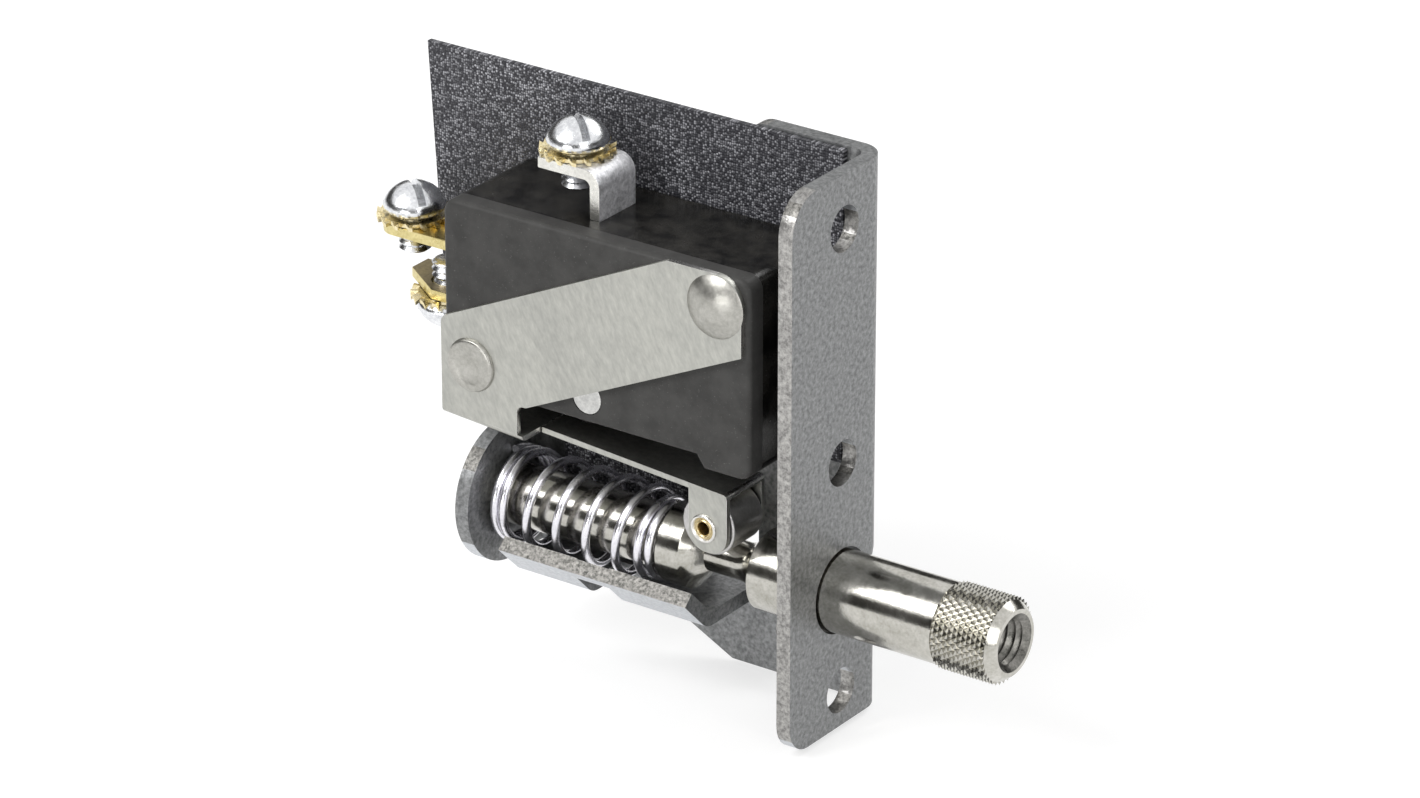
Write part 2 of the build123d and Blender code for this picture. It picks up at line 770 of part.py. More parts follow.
# Terminal screws and their toothed lock washers; the lower end screw is put in from below
terminal_screws = [
    ("common", tab_x + common_screw, rod_z + common_top, 1, common_sheet),
    ("normally_open", case_left_x - open_screw, rod_z + open_top, 1, end_sheet),
    ("normally_closed", case_left_x - closed_screw, rod_z + closed_top - end_sheet, -1, end_sheet),
]
for name, screw_x, seat_z, up, strap in terminal_screws:
    seat = Plane(origin=(screw_x, case_mid_y, seat_z), x_dir=(1, 0, 0), z_dir=(0, 0, up))
    side = Plane(origin=(screw_x, case_mid_y, seat_z), x_dir=(1, 0, 0), z_dir=(0, -up, 0))
    with BuildPart() as lock_washer:
        with BuildSketch(seat):
            Circle(washer_r)
            with PolarLocations(washer_r - washer_tooth / 2, washer_teeth):
                Rectangle(3 * washer_tooth, washer_tooth_width)
            Circle(screw_r + washer_fit, mode=Mode.SUBTRACT)
        extrude(amount=washer_sheet)
    lock_washer.part.label = f"{name}_lock_washer"
    export_step(lock_washer.part, f"parts/{name}_lock_washer.step")
    rim = washer_sheet + screw_head_rim
    crown = washer_sheet + screw_head_height
    with BuildPart() as terminal_screw:
        with BuildSketch(side):
            with BuildLine():
                cap = TangentArc((0, crown), (screw_head_r, rim), tangent=(1, 0))
                Polyline(
                    cap @ 1,
                    (screw_head_r, washer_sheet),
                    (screw_r, washer_sheet),
                    (screw_r, -strap - screw_reach + screw_lead),
                    (screw_r - screw_lead, -strap - screw_reach),
                    (0, -strap - screw_reach),
                    cap @ 0,
                )
            make_face()
        revolve(axis=Axis((screw_x, case_mid_y, 0), (0, 0, 1)))
        with BuildSketch(Plane(origin=seat.origin + seat.z_dir * crown, x_dir=(1, 0, 0), z_dir=(0, 0, up))):
            Rectangle(screw_slot_width, 3 * screw_head_r, rotation=screw_slot_turn * up)
        extrude(amount=-screw_slot_depth, mode=Mode.SUBTRACT)
    terminal_screw.part.label = f"{name}_screw"
    export_step(terminal_screw.part, f"parts/{name}_screw.step")

# Side plate of the actuator: a band along the line of the two rivets, whose lower left
# leg is folded under the switch
band_slope = rivet_pitch_z / (far_rivet[0] - near_rivet[0])
band_rise = side_plate_half / cos(atan(band_slope))
plate_left = tab_x - side_plate_left
plate_right = far_rivet[0] + side_plate_past_rivet
plate_top = case_top_z + side_plate_rise
leg_x = tab_x + side_plate_leg


def band_edge(x, side):
    """Height of the upper (1) or lower (-1) edge of the band at this X."""
    return near_rivet[1] + (x - near_rivet[0]) * band_slope + side * band_rise


with BuildPart() as actuator_plate:
    with BuildSketch(facing_front(case_front_y)) as band:
        with BuildLine():
            Polyline(
                (plate_left, leaf_top(plate_left) - strip_sheet),
                (leg_x, leaf_top(leg_x) - strip_sheet),
                (leg_x, band_edge(leg_x + side_plate_relief, -1)),
                (leg_x + side_plate_relief, band_edge(leg_x + side_plate_relief, -1)),
                (plate_right, band_edge(plate_right, -1)),
                (plate_right, plate_top),
                (near_rivet[0] + (plate_top - band_edge(near_rivet[0], 1)) / band_slope, plate_top),
                (plate_left, band_edge(plate_left, 1)),
                close=True,
            )
        make_face()
        fillet(band.vertices().sort_by_distance((plate_right, plate_top))[0], side_plate_corner)
        relief = (leg_x, band_edge(leg_x + side_plate_relief, -1))
        fillet(band.vertices().sort_by_distance(relief)[0], side_plate_relief * 0.7)
        fillet(band.vertices().sort_by_distance((plate_left, band_edge(plate_left, 1)))[0], side_plate_relief)
        with Locations(near_rivet, far_rivet):
            Circle(rivet_r + rivet_fit, mode=Mode.SUBTRACT)
    extrude(amount=strip_sheet)
    with BuildSketch(facing_front(side_plate_y)):
        with BuildLine():
            Polyline(
                (plate_left, leaf_top(plate_left)),
                (leaf_root_x - leaf_root_gap, leaf_top(leaf_root_x - leaf_root_gap)),
                (leaf_root_x - leaf_root_gap, leaf_top(leaf_root_x - leaf_root_gap) - strip_sheet),
                (plate_left, leaf_top(plate_left) - strip_sheet),
                close=True,
            )
        make_face()
    extrude(amount=-(leaf_back_y - side_plate_y))
    fold_edges = actuator_plate.edges().filter_by(
        lambda edge: abs(edge.center().Y - side_plate_y) < 0.01
        and abs(edge.center().Z - leaf_top(edge.center().X) + strip_sheet) < 0.01
        and edge.length > leg_x - plate_left - 0.1
    )
    fillet(fold_edges, fold_radius)
actuator_plate.part.label = "actuator_plate"
export_step(actuator_plate.part, "parts/actuator_plate.step")

# Roller leaf: the sprung end of the same strip, with an ear folded down on each side
ear_left_x = tab_x + ear_left
ear_right_x = tab_x + ear_right
with BuildPart() as roller_leaf:
    with BuildSketch(facing_front(leaf_front_y)):
        with BuildLine():
            Polyline(
                (leaf_root_x, leaf_top(leaf_root_x)),
                (ear_right_x, leaf_top(ear_right_x)),
                (ear_right_x, leaf_top(ear_right_x) - strip_sheet),
                (leaf_root_x, leaf_top(leaf_root_x) - strip_sheet),
                close=True,
            )
        make_face()
    extrude(amount=-leaf_width)
    for ear_y in (leaf_front_y + strip_sheet, leaf_back_y):
        with BuildSketch(facing_front(ear_y)) as ear:
            with BuildLine():
                Polyline(
                    (ear_left_x, leaf_top(ear_left_x)),
                    (ear_right_x, leaf_top(ear_right_x)),
                    (ear_right_x, roller_z - ear_below_pin),
                    (ear_left_x, roller_z - ear_below_pin),
                    close=True,
                )
            make_face()
            fillet(ear.vertices().group_by(Axis.Y)[0], ear_corner)
            with Locations((roller_x, roller_z)):
                Circle(roller_pin_r + roller_pin_fit, mode=Mode.SUBTRACT)
        extrude(amount=strip_sheet)
    ear_folds = roller_leaf.edges().filter_by(
        lambda edge: edge.center().X > ear_left_x
        and abs(edge.center().Z - leaf_top(edge.center().X)) < 0.01
        and edge.length > ear_right_x - ear_left_x - 0.1
    )
    fillet(ear_folds, strip_sheet * 0.8)
roller_leaf.part.label = "roller_leaf"
export_step(roller_leaf.part, "parts/roller_leaf.step")

# Roller and the hollow rivet that it turns on
pin_front_y = leaf_front_y - roller_pin_head
pin_back_y = leaf_back_y + roller_pin_head
roller_front_y = leaf_front_y + strip_sheet + roller_side_gap
roller_back_y = leaf_back_y - strip_sheet - roller_side_gap
with BuildPart() as roller:
    with BuildSketch(facing_front(roller_back_y)):
        with Locations((roller_x, roller_z)):
            Circle(roller_r)
            Circle(roller_pin_r + roller_bore_fit, mode=Mode.SUBTRACT)
    extrude(amount=roller_back_y - roller_front_y)
    outer_rims = roller.edges().filter_by(GeomType.CIRCLE).filter_by(lambda edge: edge.radius > roller_pin_r * 2)
    fillet(outer_rims, 0.2)
roller.part.label = "roller"
export_step(roller.part, "parts/roller.step")

with BuildPart() as roller_pin:
    with BuildSketch(facing_front(pin_back_y)):
        with Locations((roller_x, roller_z)):
            Circle(roller_pin_r)
    extrude(amount=pin_back_y - pin_front_y)
    for head_back_y in (leaf_front_y, pin_back_y):
        with BuildSketch(facing_front(head_back_y)):
            with Locations((roller_x, roller_z)):
                Circle(roller_pin_head_r)
        extrude(amount=roller_pin_head)
    ends = roller_pin.edges().filter_by(GeomType.CIRCLE).group_by(Axis.Y)
    fillet(ends[0] + ends[-1], roller_pin_head * 0.6)
    with BuildSketch(facing_front(pin_back_y)):
        with Locations((roller_x, roller_z)):
            Circle(roller_pin_bore_r)
    extrude(amount=pin_back_y - pin_front_y, mode=Mode.SUBTRACT)
roller_pin.part.label = "roller_pin"
export_step(roller_pin.part, "parts/roller_pin.step")

# Long rivets: through the side plate, the switch, the barrier and the back plate
long_rivets = [
    ("near_rivet", near_rivet, near_rivet_head_r, near_rivet_dome),
    ("far_rivet", far_rivet, far_rivet_head_r, far_rivet_dome),
]
for name, (rivet_x, rivet_z), head_r, dome_height in long_rivets:
    with BuildPart() as long_rivet:
        with BuildSketch(Plane(origin=(rivet_x, 0, rivet_z), x_dir=(1, 0, 0), z_dir=(0, 0, 1))):
            with BuildLine():
                crown = TangentArc(
                    (0, side_plate_y - dome_height),
                    (head_r, side_plate_y),
                    tangent=(1, 0),
                )
                Polyline(
                    crown @ 1,
                    (rivet_r, side_plate_y),
                    (rivet_r, plate_setback),
                    (rivet_tail_r, plate_setback),
                    (rivet_tail_r * 0.8, plate_setback + rivet_tail_height),
                    (0, plate_setback + rivet_tail_height),
                    crown @ 0,
                )
            make_face()
        revolve(axis=Axis((rivet_x, 0, rivet_z), (0, 1, 0)))
    long_rivet.part.label = name
    export_step(long_rivet.part, f"parts/{name}.step")

# Plunger rod: turned in one piece, with the roller groove, knurl and tapped end
tail_end = -sheet - tail_length
groove_left = -sheet - ring_play - ring_thickness - ring_fit
groove_right = -sheet - ring_play + ring_fit
shoulder_end = shoulder_start + shoulder_length
with BuildPart() as plunger_rod:
    with BuildSketch(rod_plane):
        with BuildLine():
            Polyline(
                (tail_end, 0),
                (tail_end, tail_r - tail_chamfer),
                (tail_end + tail_chamfer, tail_r),
                (groove_left, tail_r),
                (groove_left, ring_groove_r),
                (groove_right, ring_groove_r),
                (groove_right, tail_r),
                (shoulder_start, tail_r),
                (shoulder_start, rod_r),
                (shoulder_end, rod_r),
                (shoulder_end + entry_cone_length, neck_r),
                (groove_flat_end, neck_r),
            )
            flare = TangentArc((groove_flat_end, neck_r), (groove_end, rod_r), tangent=(1, 0))
            Polyline(
                flare @ 1,
                (knurl_start, rod_r),
                (knurl_start + knurl_r - rod_r, knurl_r),
                (knurl_start + knurl_length, knurl_r),
                (rod_end, knurl_r - end_chamfer),
                (rod_end, tapped_r + tapped_mouth),
                (rod_end - tapped_mouth, tapped_r),
                (rod_end - tapped_depth, tapped_r),
                (rod_end - tapped_depth - tapped_r * 0.6, 0),
                (tail_end, 0),
            )
        make_face()
    revolve(axis=rod_axis)
plunger_rod.part.label = "plunger_rod"
export_step(plunger_rod.part, "parts/plunger_rod.step")

# Retaining ring: an open ring snapped into the tail, against the outside of the tab
with BuildPart() as retaining_ring:
    with BuildSketch(Plane.YZ.offset(tab_x - sheet - ring_play - ring_thickness)):
        with Locations((0, rod_z)):
            Circle(ring_r)
            Circle(ring_groove_r + ring_fit, mode=Mode.SUBTRACT)
        with Locations((0, rod_z - ring_r)):
            Rectangle(ring_slot, 2 * ring_r, align=(Align.CENTER, Align.CENTER), mode=Mode.SUBTRACT)
    extrude(amount=ring_thickness)
retaining_ring.part.label = "retaining_ring"
export_step(retaining_ring.part, "parts/retaining_ring.step")

# Return spring: closed coils on the tab, open coils, and a last coil drawn in to bear
# on the shoulder of the rod
first_coil = wire_r + spring_seat_gap
last_coil = shoulder_start - wire_r - spring_seat_gap
closed_length = (spring_closed_turns + 1) * spring_closed_pitch
open_pitch = (last_coil - first_coil - spring_last_pitch - closed_length) / spring_turns
coil_stages = [
    (spring_closed_turns, spring_closed_pitch, spring_r),
    (spring_turns, open_pitch, spring_r),
    (1, spring_last_pitch, spring_seat_r),
    (1, spring_closed_pitch, spring_seat_r),
]
wire_path = []
coil_place = first_coil
coil_r = spring_r
for stage_turns, pitch, stage_end_r in coil_stages:
    for step in range(stage_turns * spring_steps):
        turned = step / spring_steps
        wire_x = tab_x + coil_place + pitch * turned
        wire_r_here = coil_r + (stage_end_r - coil_r) * turned / stage_turns
        angle = 2 * pi * turned
        wire_path.append((wire_x, wire_r_here * sin(angle), rod_z + wire_r_here * cos(angle)))
    coil_place += pitch * stage_turns
    coil_r = stage_end_r
wire_path.append((tab_x + coil_place, 0, rod_z + coil_r))
with BuildPart() as return_spring:
    with BuildLine() as coil:
        Spline(*wire_path)
    with BuildSketch(Plane(origin=coil.line @ 0, z_dir=coil.line % 0)):
        Circle(wire_r)
    sweep(path=coil.line, is_frenet=True)
return_spring.part.label = "return_spring"
export_step(return_spring.part, "parts/return_spring.step")
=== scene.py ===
import math

import bpy
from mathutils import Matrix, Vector


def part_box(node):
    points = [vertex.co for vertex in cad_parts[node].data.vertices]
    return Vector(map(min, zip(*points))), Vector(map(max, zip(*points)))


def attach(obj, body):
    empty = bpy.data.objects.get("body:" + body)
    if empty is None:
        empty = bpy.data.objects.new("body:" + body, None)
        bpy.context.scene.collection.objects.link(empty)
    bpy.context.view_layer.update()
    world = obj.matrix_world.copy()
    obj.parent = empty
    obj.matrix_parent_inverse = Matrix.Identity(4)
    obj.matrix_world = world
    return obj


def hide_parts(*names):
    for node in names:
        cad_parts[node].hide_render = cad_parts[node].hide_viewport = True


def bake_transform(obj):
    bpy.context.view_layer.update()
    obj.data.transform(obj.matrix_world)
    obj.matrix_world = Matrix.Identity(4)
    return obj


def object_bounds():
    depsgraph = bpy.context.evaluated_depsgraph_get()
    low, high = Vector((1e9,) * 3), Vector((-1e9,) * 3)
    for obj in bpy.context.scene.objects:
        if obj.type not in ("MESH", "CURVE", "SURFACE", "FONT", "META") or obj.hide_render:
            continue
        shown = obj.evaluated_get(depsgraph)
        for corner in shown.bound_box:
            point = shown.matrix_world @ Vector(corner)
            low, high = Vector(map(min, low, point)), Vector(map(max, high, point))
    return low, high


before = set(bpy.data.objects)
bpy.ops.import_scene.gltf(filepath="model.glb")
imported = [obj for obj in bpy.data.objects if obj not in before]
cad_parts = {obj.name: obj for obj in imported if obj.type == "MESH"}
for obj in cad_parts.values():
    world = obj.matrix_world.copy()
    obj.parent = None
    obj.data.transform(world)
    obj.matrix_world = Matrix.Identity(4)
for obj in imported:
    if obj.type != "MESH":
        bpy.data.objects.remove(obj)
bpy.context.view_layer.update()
bpy.ops.object.select_all(action="DESELECT")
MM = 0.001

# Bracket. One sheet of steel, 1.2 mm thick, blanked and folded, then zinc plated, which
# leaves a grey, finely mottled skin. The blanked edges stay brighter than the faces, and
# the slope under the shelf's lip takes a brighter zinc, which is a painted reflection.


def shader_group(name, inputs, outputs):
    """An empty shader group with these sockets; returns it with its two end nodes."""
    group = bpy.data.node_groups.new(name, "ShaderNodeTree")
    for socket, kind, value in inputs:
        made = group.interface.new_socket(socket, in_out="INPUT", socket_type=kind)
        if value is not None:
            made.default_value = value
    for socket, kind in outputs:
        group.interface.new_socket(socket, in_out="OUTPUT", socket_type=kind)
    return group, group.nodes.new("NodeGroupInput"), group.nodes.new("NodeGroupOutput")


def feed(tree, value, socket):
    """Links an output to this input, or writes a plain number or colour into it."""
    if hasattr(value, "links"):
        tree.links.new(value, socket)
    elif socket.type == "RGBA":
        socket.default_value = (*value, 1)
    else:
        socket.default_value = value


def ranged(tree, source, low, high, start, end):
    """The source value, spread from low..high to start..end."""
    spread = tree.nodes.new("ShaderNodeMapRange")
    tree.links.new(source, spread.inputs["Value"])
    for socket, value in (("From Min", low), ("From Max", high), ("To Min", start), ("To Max", end)):
        feed(tree, value, spread.inputs[socket])
    return spread.outputs[0]


def mixed_colour(tree, factor, first, second):
    """A colour between two colours or colour sockets."""
    mix = tree.nodes.new("ShaderNodeMix")
    mix.data_type = "RGBA"
    tree.links.new(factor, mix.inputs["Factor"])
    feed(tree, first, mix.inputs["A"])
    feed(tree, second, mix.inputs["B"])
    return mix.outputs["Result"]


def noise_at(tree, place, scale, detail=3.0, roughness=0.6):
    """Noise of this many features per unit of the place."""
    noise = tree.nodes.new("ShaderNodeTexNoise")
    noise.inputs["Detail"].default_value = detail
    noise.inputs["Roughness"].default_value = roughness
    tree.links.new(place, noise.inputs["Vector"])
    feed(tree, scale, noise.inputs["Scale"])
    return noise.outputs["Fac"]


def combined(tree, operation, first, second):
    """One arithmetic step on two values or sockets."""
    step = tree.nodes.new("ShaderNodeMath")
    step.operation = operation
    feed(tree, first, step.inputs[0])
    feed(tree, second, step.inputs[1])
    return step.outputs[0]


def build_metal_skin():
    """Cloudy patches and fine grain over them, as on plated or rolled metal."""
    group, given, made = shader_group(
        "metal_skin",
        [
            ("Vector", "NodeSocketVector", None),
            ("Cloud Scale", "NodeSocketFloat", 0.5),
            ("Grain Scale", "NodeSocketFloat", 4.0),
            ("Grain Share", "NodeSocketFloat", 0.5),
            ("Bright", "NodeSocketColor", (0.6, 0.6, 0.6, 1)),
            ("Dull", "NodeSocketColor", (0.4, 0.4, 0.4, 1)),
            ("Smooth", "NodeSocketFloat", 0.25),
            ("Rough", "NodeSocketFloat", 0.45),
        ],
        [
            ("Colour", "NodeSocketColor"),
            ("Roughness", "NodeSocketFloat"),
            ("Height", "NodeSocketFloat"),
        ],
    )
    tint_low, tint_high = 0.36, 0.64
    gloss_low, gloss_high = 0.3, 0.7
    place = given.outputs["Vector"]
    cloud = noise_at(group, place, given.outputs["Cloud Scale"], detail=5)
    grain = noise_at(group, place, given.outputs["Grain Scale"], roughness=0.7)
    share = group.nodes.new("ShaderNodeMix")
    group.links.new(given.outputs["Grain Share"], share.inputs["Factor"])
    group.links.new(cloud, share.inputs["A"])
    group.links.new(grain, share.inputs["B"])
    spread = ranged(group, share.outputs["Result"], tint_low, tint_high, 0.0, 1.0)
    tint = mixed_colour(group, spread, given.outputs["Dull"], given.outputs["Bright"])
    gloss = ranged(
        group, cloud, gloss_low, gloss_high, given.outputs["Smooth"], given.outputs["Rough"]
    )
    group.links.new(tint, made.inputs["Colour"])
    group.links.new(gloss, made.inputs["Roughness"])
    group.links.new(grain, made.inputs["Height"])
    return group


def new_finish(name, metallic=0.0, specular=0.5, stretch=(1, 1, 1), turn=(0, 0, 0)):
    """A material reading object coordinates in millimetres; returns it, its tree, shader and place."""
    material = bpy.data.materials.new(name)
    material.use_nodes = True
    tree = material.node_tree
    shader = tree.nodes["Principled BSDF"]
    shader.inputs["Metallic"].default_value = metallic
    shader.inputs["Specular IOR Level"].default_value = specular
    place = tree.nodes.new("ShaderNodeTexCoord")
    turned_place = tree.nodes.new("ShaderNodeMapping")
    turned_place.inputs["Rotation"].default_value = [math.radians(angle) for angle in turn]
    scaled = tree.nodes.new("ShaderNodeMapping")
    scaled.inputs["Scale"].default_value = [factor / MM for factor in stretch]
    tree.links.new(place.outputs["Object"], turned_place.inputs["Vector"])
    tree.links.new(turned_place.outputs[0], scaled.inputs["Vector"])
    return material, tree, shader, scaled.outputs[0]


def add_bump(tree, shader, height, strength, depth):
    """Relief of this depth, in millimetres, from a height socket."""
    bump = tree.nodes.new("ShaderNodeBump")
    bump.inputs["Strength"].default_value = strength
    bump.inputs["Distance"].default_value = depth * MM
    tree.links.new(height, bump.inputs["Height"])
    tree.links.new(bump.outputs["Normal"], shader.inputs["Normal"])


metal_skin = build_metal_skin()


def metal_finish(
    name,
    bright,
    dull,
    smooth,
    rough,
    cloud=0.5,
    grain=4.0,
    share=0.5,
    bump=0.15,
    metallic=1.0,
    stretch=(1, 1, 1),
    turn=(0, 0, 0),
):
    """Bare or plated metal with the shared skin in these colours and roughnesses."""
    grain_depth = 0.05
    material, tree, shader, place = new_finish(name, metallic=metallic, stretch=stretch, turn=turn)
    skin = tree.nodes.new("ShaderNodeGroup")
    skin.node_tree = metal_skin
    for socket, value in (
        ("Bright", bright),
        ("Dull", dull),
        ("Smooth", smooth),
        ("Rough", rough),
        ("Cloud Scale", cloud),
        ("Grain Scale", grain),
        ("Grain Share", share),
    ):
        feed(tree, value, skin.inputs[socket])
    tree.links.new(place, skin.inputs["Vector"])
    tree.links.new(skin.outputs["Colour"], shader.inputs["Base Color"])
    tree.links.new(skin.outputs["Roughness"], shader.inputs["Roughness"])
    add_bump(tree, shader, skin.outputs["Height"], strength=bump, depth=grain_depth)
    return material


def only(piece):
    """Makes this piece the only one selected, and active."""
    bpy.ops.object.select_all(action="DESELECT")
    bpy.context.view_layer.objects.active = piece
    piece.select_set(True)


def ease_edges(piece, width, sharp=35):
    """Rounds the sharp edges, clears slivers and evens the shading of the flats beside them."""
    sliver = 0.0005 * MM
    only(piece)
    if width:
        ease = piece.modifiers.new("eased_edges", "BEVEL")
        ease.width = width * MM
        ease.segments = 2
        ease.limit_method = "ANGLE"
        ease.angle_limit = math.radians(sharp)
        ease.miter_outer = "MITER_ARC"
        bpy.ops.object.modifier_apply(modifier=ease.name)
        bpy.ops.object.mode_set(mode="EDIT")
        bpy.ops.mesh.select_all(action="SELECT")
        bpy.ops.mesh.dissolve_degenerate(threshold=sliver)
        bpy.ops.object.mode_set(mode="OBJECT")
    bpy.ops.object.shade_smooth_by_angle(angle=math.radians(sharp))
    even = piece.modifiers.new("even_flats", "WEIGHTED_NORMAL")
    even.keep_sharp = True
    bpy.ops.object.modifier_apply(modifier=even.name)
    piece.select_set(False)


def declare(piece, body, slot, *nodes):
    """Rides a piece on its body, in place of these nodes; its slot is not used."""
    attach(piece, body)
    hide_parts(*nodes)


def copied_from_cad(node, name, finish, edge_width=0.0, sharp=35):
    """A copy of a CAD node with its loose triangles joined and its sharp edges eased."""
    join_gap = 0.002 * MM
    flat_within = math.radians(0.5)
    piece = bpy.data.objects.new(name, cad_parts[node].data.copy())
    bpy.context.scene.collection.objects.link(piece)
    piece.data.materials.clear()
    piece.data.materials.append(finish)
    only(piece)
    bpy.ops.object.mode_set(mode="EDIT")
    bpy.ops.mesh.select_all(action="SELECT")
    bpy.ops.mesh.customdata_custom_splitnormals_clear()
    bpy.ops.mesh.remove_doubles(threshold=join_gap)
    bpy.ops.mesh.dissolve_limited(angle_limit=flat_within)
    bpy.ops.object.mode_set(mode="OBJECT")
    ease_edges(piece, edge_width, sharp)
    return piece


zinc_sheet = metal_finish(
    "zinc_plated_sheet",
    bright=(0.345, 0.350, 0.352),
    dull=(0.150, 0.153, 0.155),
    smooth=0.34,
    rough=0.52,
    cloud=0.30,
    grain=2.8,
    share=0.76,
    bump=0.55,
    metallic=0.8,
)
blanked_edge = metal_finish(
    "blanked_edge",
    bright=(0.52, 0.51, 0.49),
    dull=(0.20, 0.195, 0.19),
    smooth=0.28,
    rough=0.44,
    cloud=0.6,
    grain=3.4,
    share=0.75,
    bump=0.6,
)
lanced_edge = metal_finish(
    "lanced_edge",
    bright=(0.28, 0.27, 0.255),
    dull=(0.065, 0.065, 0.06),
    smooth=0.38,
    rough=0.52,
    cloud=0.7,
    grain=3.6,
    share=0.8,
    bump=0.7,
)
# A brighter copy of the zinc for the slope under the shelf's lip: painted reflection of the white floor.
painted_reflection_zinc = metal_finish(
    "painted_reflection_zinc",
    bright=(0.74, 0.76, 0.79),
    dull=(0.50, 0.52, 0.55),
    smooth=0.30,
    rough=0.46,
    grain=3.2,
    share=0.7,
    bump=0.4,
    metallic=0.7,
)
sheet = 1.2 * MM
flange_back_x = -1.02 * sheet
fold_reach = 2.2 * MM
plate_inner_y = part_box("bracket")[1][1] - sheet
near_plate = 0.1 * MM
aslant, lip_slant = 0.5, 0.6
edge_slot, lip_slot, slope_slot = 1, 2, 3
bracket = copied_from_cad("bracket", "bracket_sheet", zinc_sheet, edge_width=0.12)
for finish in (blanked_edge, lanced_edge, painted_reflection_zinc):
    bracket.data.materials.append(finish)
for face in bracket.data.polygons:
    on_flange = face.center.x > flange_back_x and face.center.y < plate_inner_y - sheet
    on_plate = face.center.x < -fold_reach and face.center.y > plate_inner_y - near_plate
    if on_flange and abs(face.normal.x) < aslant or on_plate and abs(face.normal.y) < aslant:
        face.material_index = edge_slot
    if face.normal.y < -lip_slant and face.normal.z > lip_slant:
        face.material_index = lip_slot
    # Faces turned to the front and down, the slope under the lip, take the painted reflection.
    if face.normal.y < -aslant and face.normal.z < -aslant:
        face.material_index = slope_slot
declare(bracket, "frame", "plated_steel", "bracket")

# Insulating barrier. A stiff sheet of black glass-cloth laminate, half a millimetre
# thick, clamped between the switch and the back plate. The weave shows as fine grains
# that glint one by one.


def laminate_finish():
    """Black resin over glass yarns, whose knuckles glint by chance and more in some patches."""
    yarn, disorder, knuckle_r, rareness = 0.20, 0.6, 0.6, 1.9
    patch_scale, patch_low, patch_high, dim_patch, lit_patch = 0.12, 0.38, 0.62, 0.45, 0.95
    resin, glass = (0.014, 0.014, 0.019), (0.90, 0.90, 0.96)
    resin_rough, glass_rough = 0.60, 0.38
    material, tree, shader, place = new_finish("woven_laminate")
    split = tree.nodes.new("ShaderNodeSeparateXYZ")
    tree.links.new(place, split.inputs[0])
    plan = tree.nodes.new("ShaderNodeCombineXYZ")
    tree.links.new(split.outputs["X"], plan.inputs["X"])
    tree.links.new(split.outputs["Z"], plan.inputs["Y"])
    knuckle = tree.nodes.new("ShaderNodeTexVoronoi")
    knuckle.voronoi_dimensions = "2D"
    knuckle.inputs["Scale"].default_value = 1 / yarn
    knuckle.inputs["Randomness"].default_value = disorder
    tree.links.new(plan.outputs[0], knuckle.inputs["Vector"])
    dome = ranged(tree, knuckle.outputs["Distance"], 0.0, knuckle_r, 1.0, 0.0)
    chance = tree.nodes.new("ShaderNodeSeparateColor")
    tree.links.new(knuckle.outputs["Color"], chance.inputs[0])
    picked = combined(tree, "POWER", chance.outputs[0], rareness)
    clouds = noise_at(tree, place, patch_scale)
    patch = ranged(tree, clouds, patch_low, patch_high, dim_patch, lit_patch)
    glint = combined(tree, "MULTIPLY", combined(tree, "MULTIPLY", picked, dome), patch)
    tint = mixed_colour(tree, glint, resin, glass)
    gloss = ranged(tree, dome, 0.0, 1.0, resin_rough, glass_rough)
    tree.links.new(tint, shader.inputs["Base Color"])
    tree.links.new(gloss, shader.inputs["Roughness"])
    add_bump(tree, shader, dome, strength=0.55, depth=0.09)
    return material


def edit_where(piece, kind, wanted, edit):
    """Does one edit to the wanted corners (VERT) or faces (FACE) of a piece only."""
    only(piece)
    bpy.ops.object.mode_set(mode="EDIT")
    bpy.ops.mesh.select_mode(type=kind)
    bpy.ops.mesh.select_all(action="DESELECT")
    bpy.ops.object.mode_set(mode="OBJECT")
    for element in piece.data.polygons if kind == "FACE" else piece.data.vertices:
        element.select = wanted(element)
    bpy.ops.object.mode_set(mode="EDIT")
    edit()
    bpy.ops.object.mode_set(mode="OBJECT")


flap_x, flap_top_z, flap_side_width, behind_plate = -27.7, -2.0, 0.15, -0.55


def on_flap_side(corner):
    """Whether a corner of the barrier is on the left side of its lower flap."""
    return abs(corner.co.x / MM - flap_x) < flap_side_width and corner.co.z / MM < flap_top_z


def reach_behind_plate():
    """Moves what is selected left, behind the edge of the back plate's window."""
    bpy.ops.transform.translate(value=(behind_plate * MM, 0, 0))


laminate = laminate_finish()
barrier = copied_from_cad("insulating_barrier", "laminate_barrier", laminate, edge_width=0.06)
edit_where(barrier, "VERT", on_flap_side, reach_behind_plate)
declare(barrier, "frame", "laminate", "insulating_barrier")

# Switch case and cover. Black phenolic, moulded in two halves that meet near the front.
# The case is glossy with faint flow clouds; the cover is greyer and more satin.


def moulding_finish(name, colour, rough, shine=0.28, mottle=0.5):
    """Moulded plastic with flow clouds in its colour, a few pale flecks and a fine grain."""
    flow_scale, fleck_scale, grain_scale = 0.45, 5.5, 5
    tint_low, tint_high, gloss_low, gloss_high = 0.38, 0.62, 0.3, 0.7
    fleck_low, fleck_high, fleck_share, fleck_gain = 0.66, 0.74, 0.5, 3.0
    smoother, rougher = rough - 0.06, rough + 0.08
    material, tree, shader, place = new_finish(name, specular=shine)
    flow = noise_at(tree, place, flow_scale, detail=6)
    clouds = ranged(tree, flow, tint_low, tint_high, 0.0, 1.0)
    darker = [share * (1 - mottle) for share in colour]
    lighter = [share * (1 + mottle) for share in colour]
    tint = mixed_colour(tree, clouds, darker, lighter)
    specks = noise_at(tree, place, fleck_scale, detail=2, roughness=0.7)
    fleck = ranged(tree, specks, fleck_low, fleck_high, 0.0, fleck_share)
    tint = mixed_colour(tree, fleck, tint, [share * fleck_gain for share in colour])
    gloss = ranged(tree, flow, gloss_low, gloss_high, smoother, rougher)
    tree.links.new(tint, shader.inputs["Base Color"])
    tree.links.new(gloss, shader.inputs["Roughness"])
    add_bump(tree, shader, noise_at(tree, place, grain_scale), strength=0.4, depth=0.02)
    return material


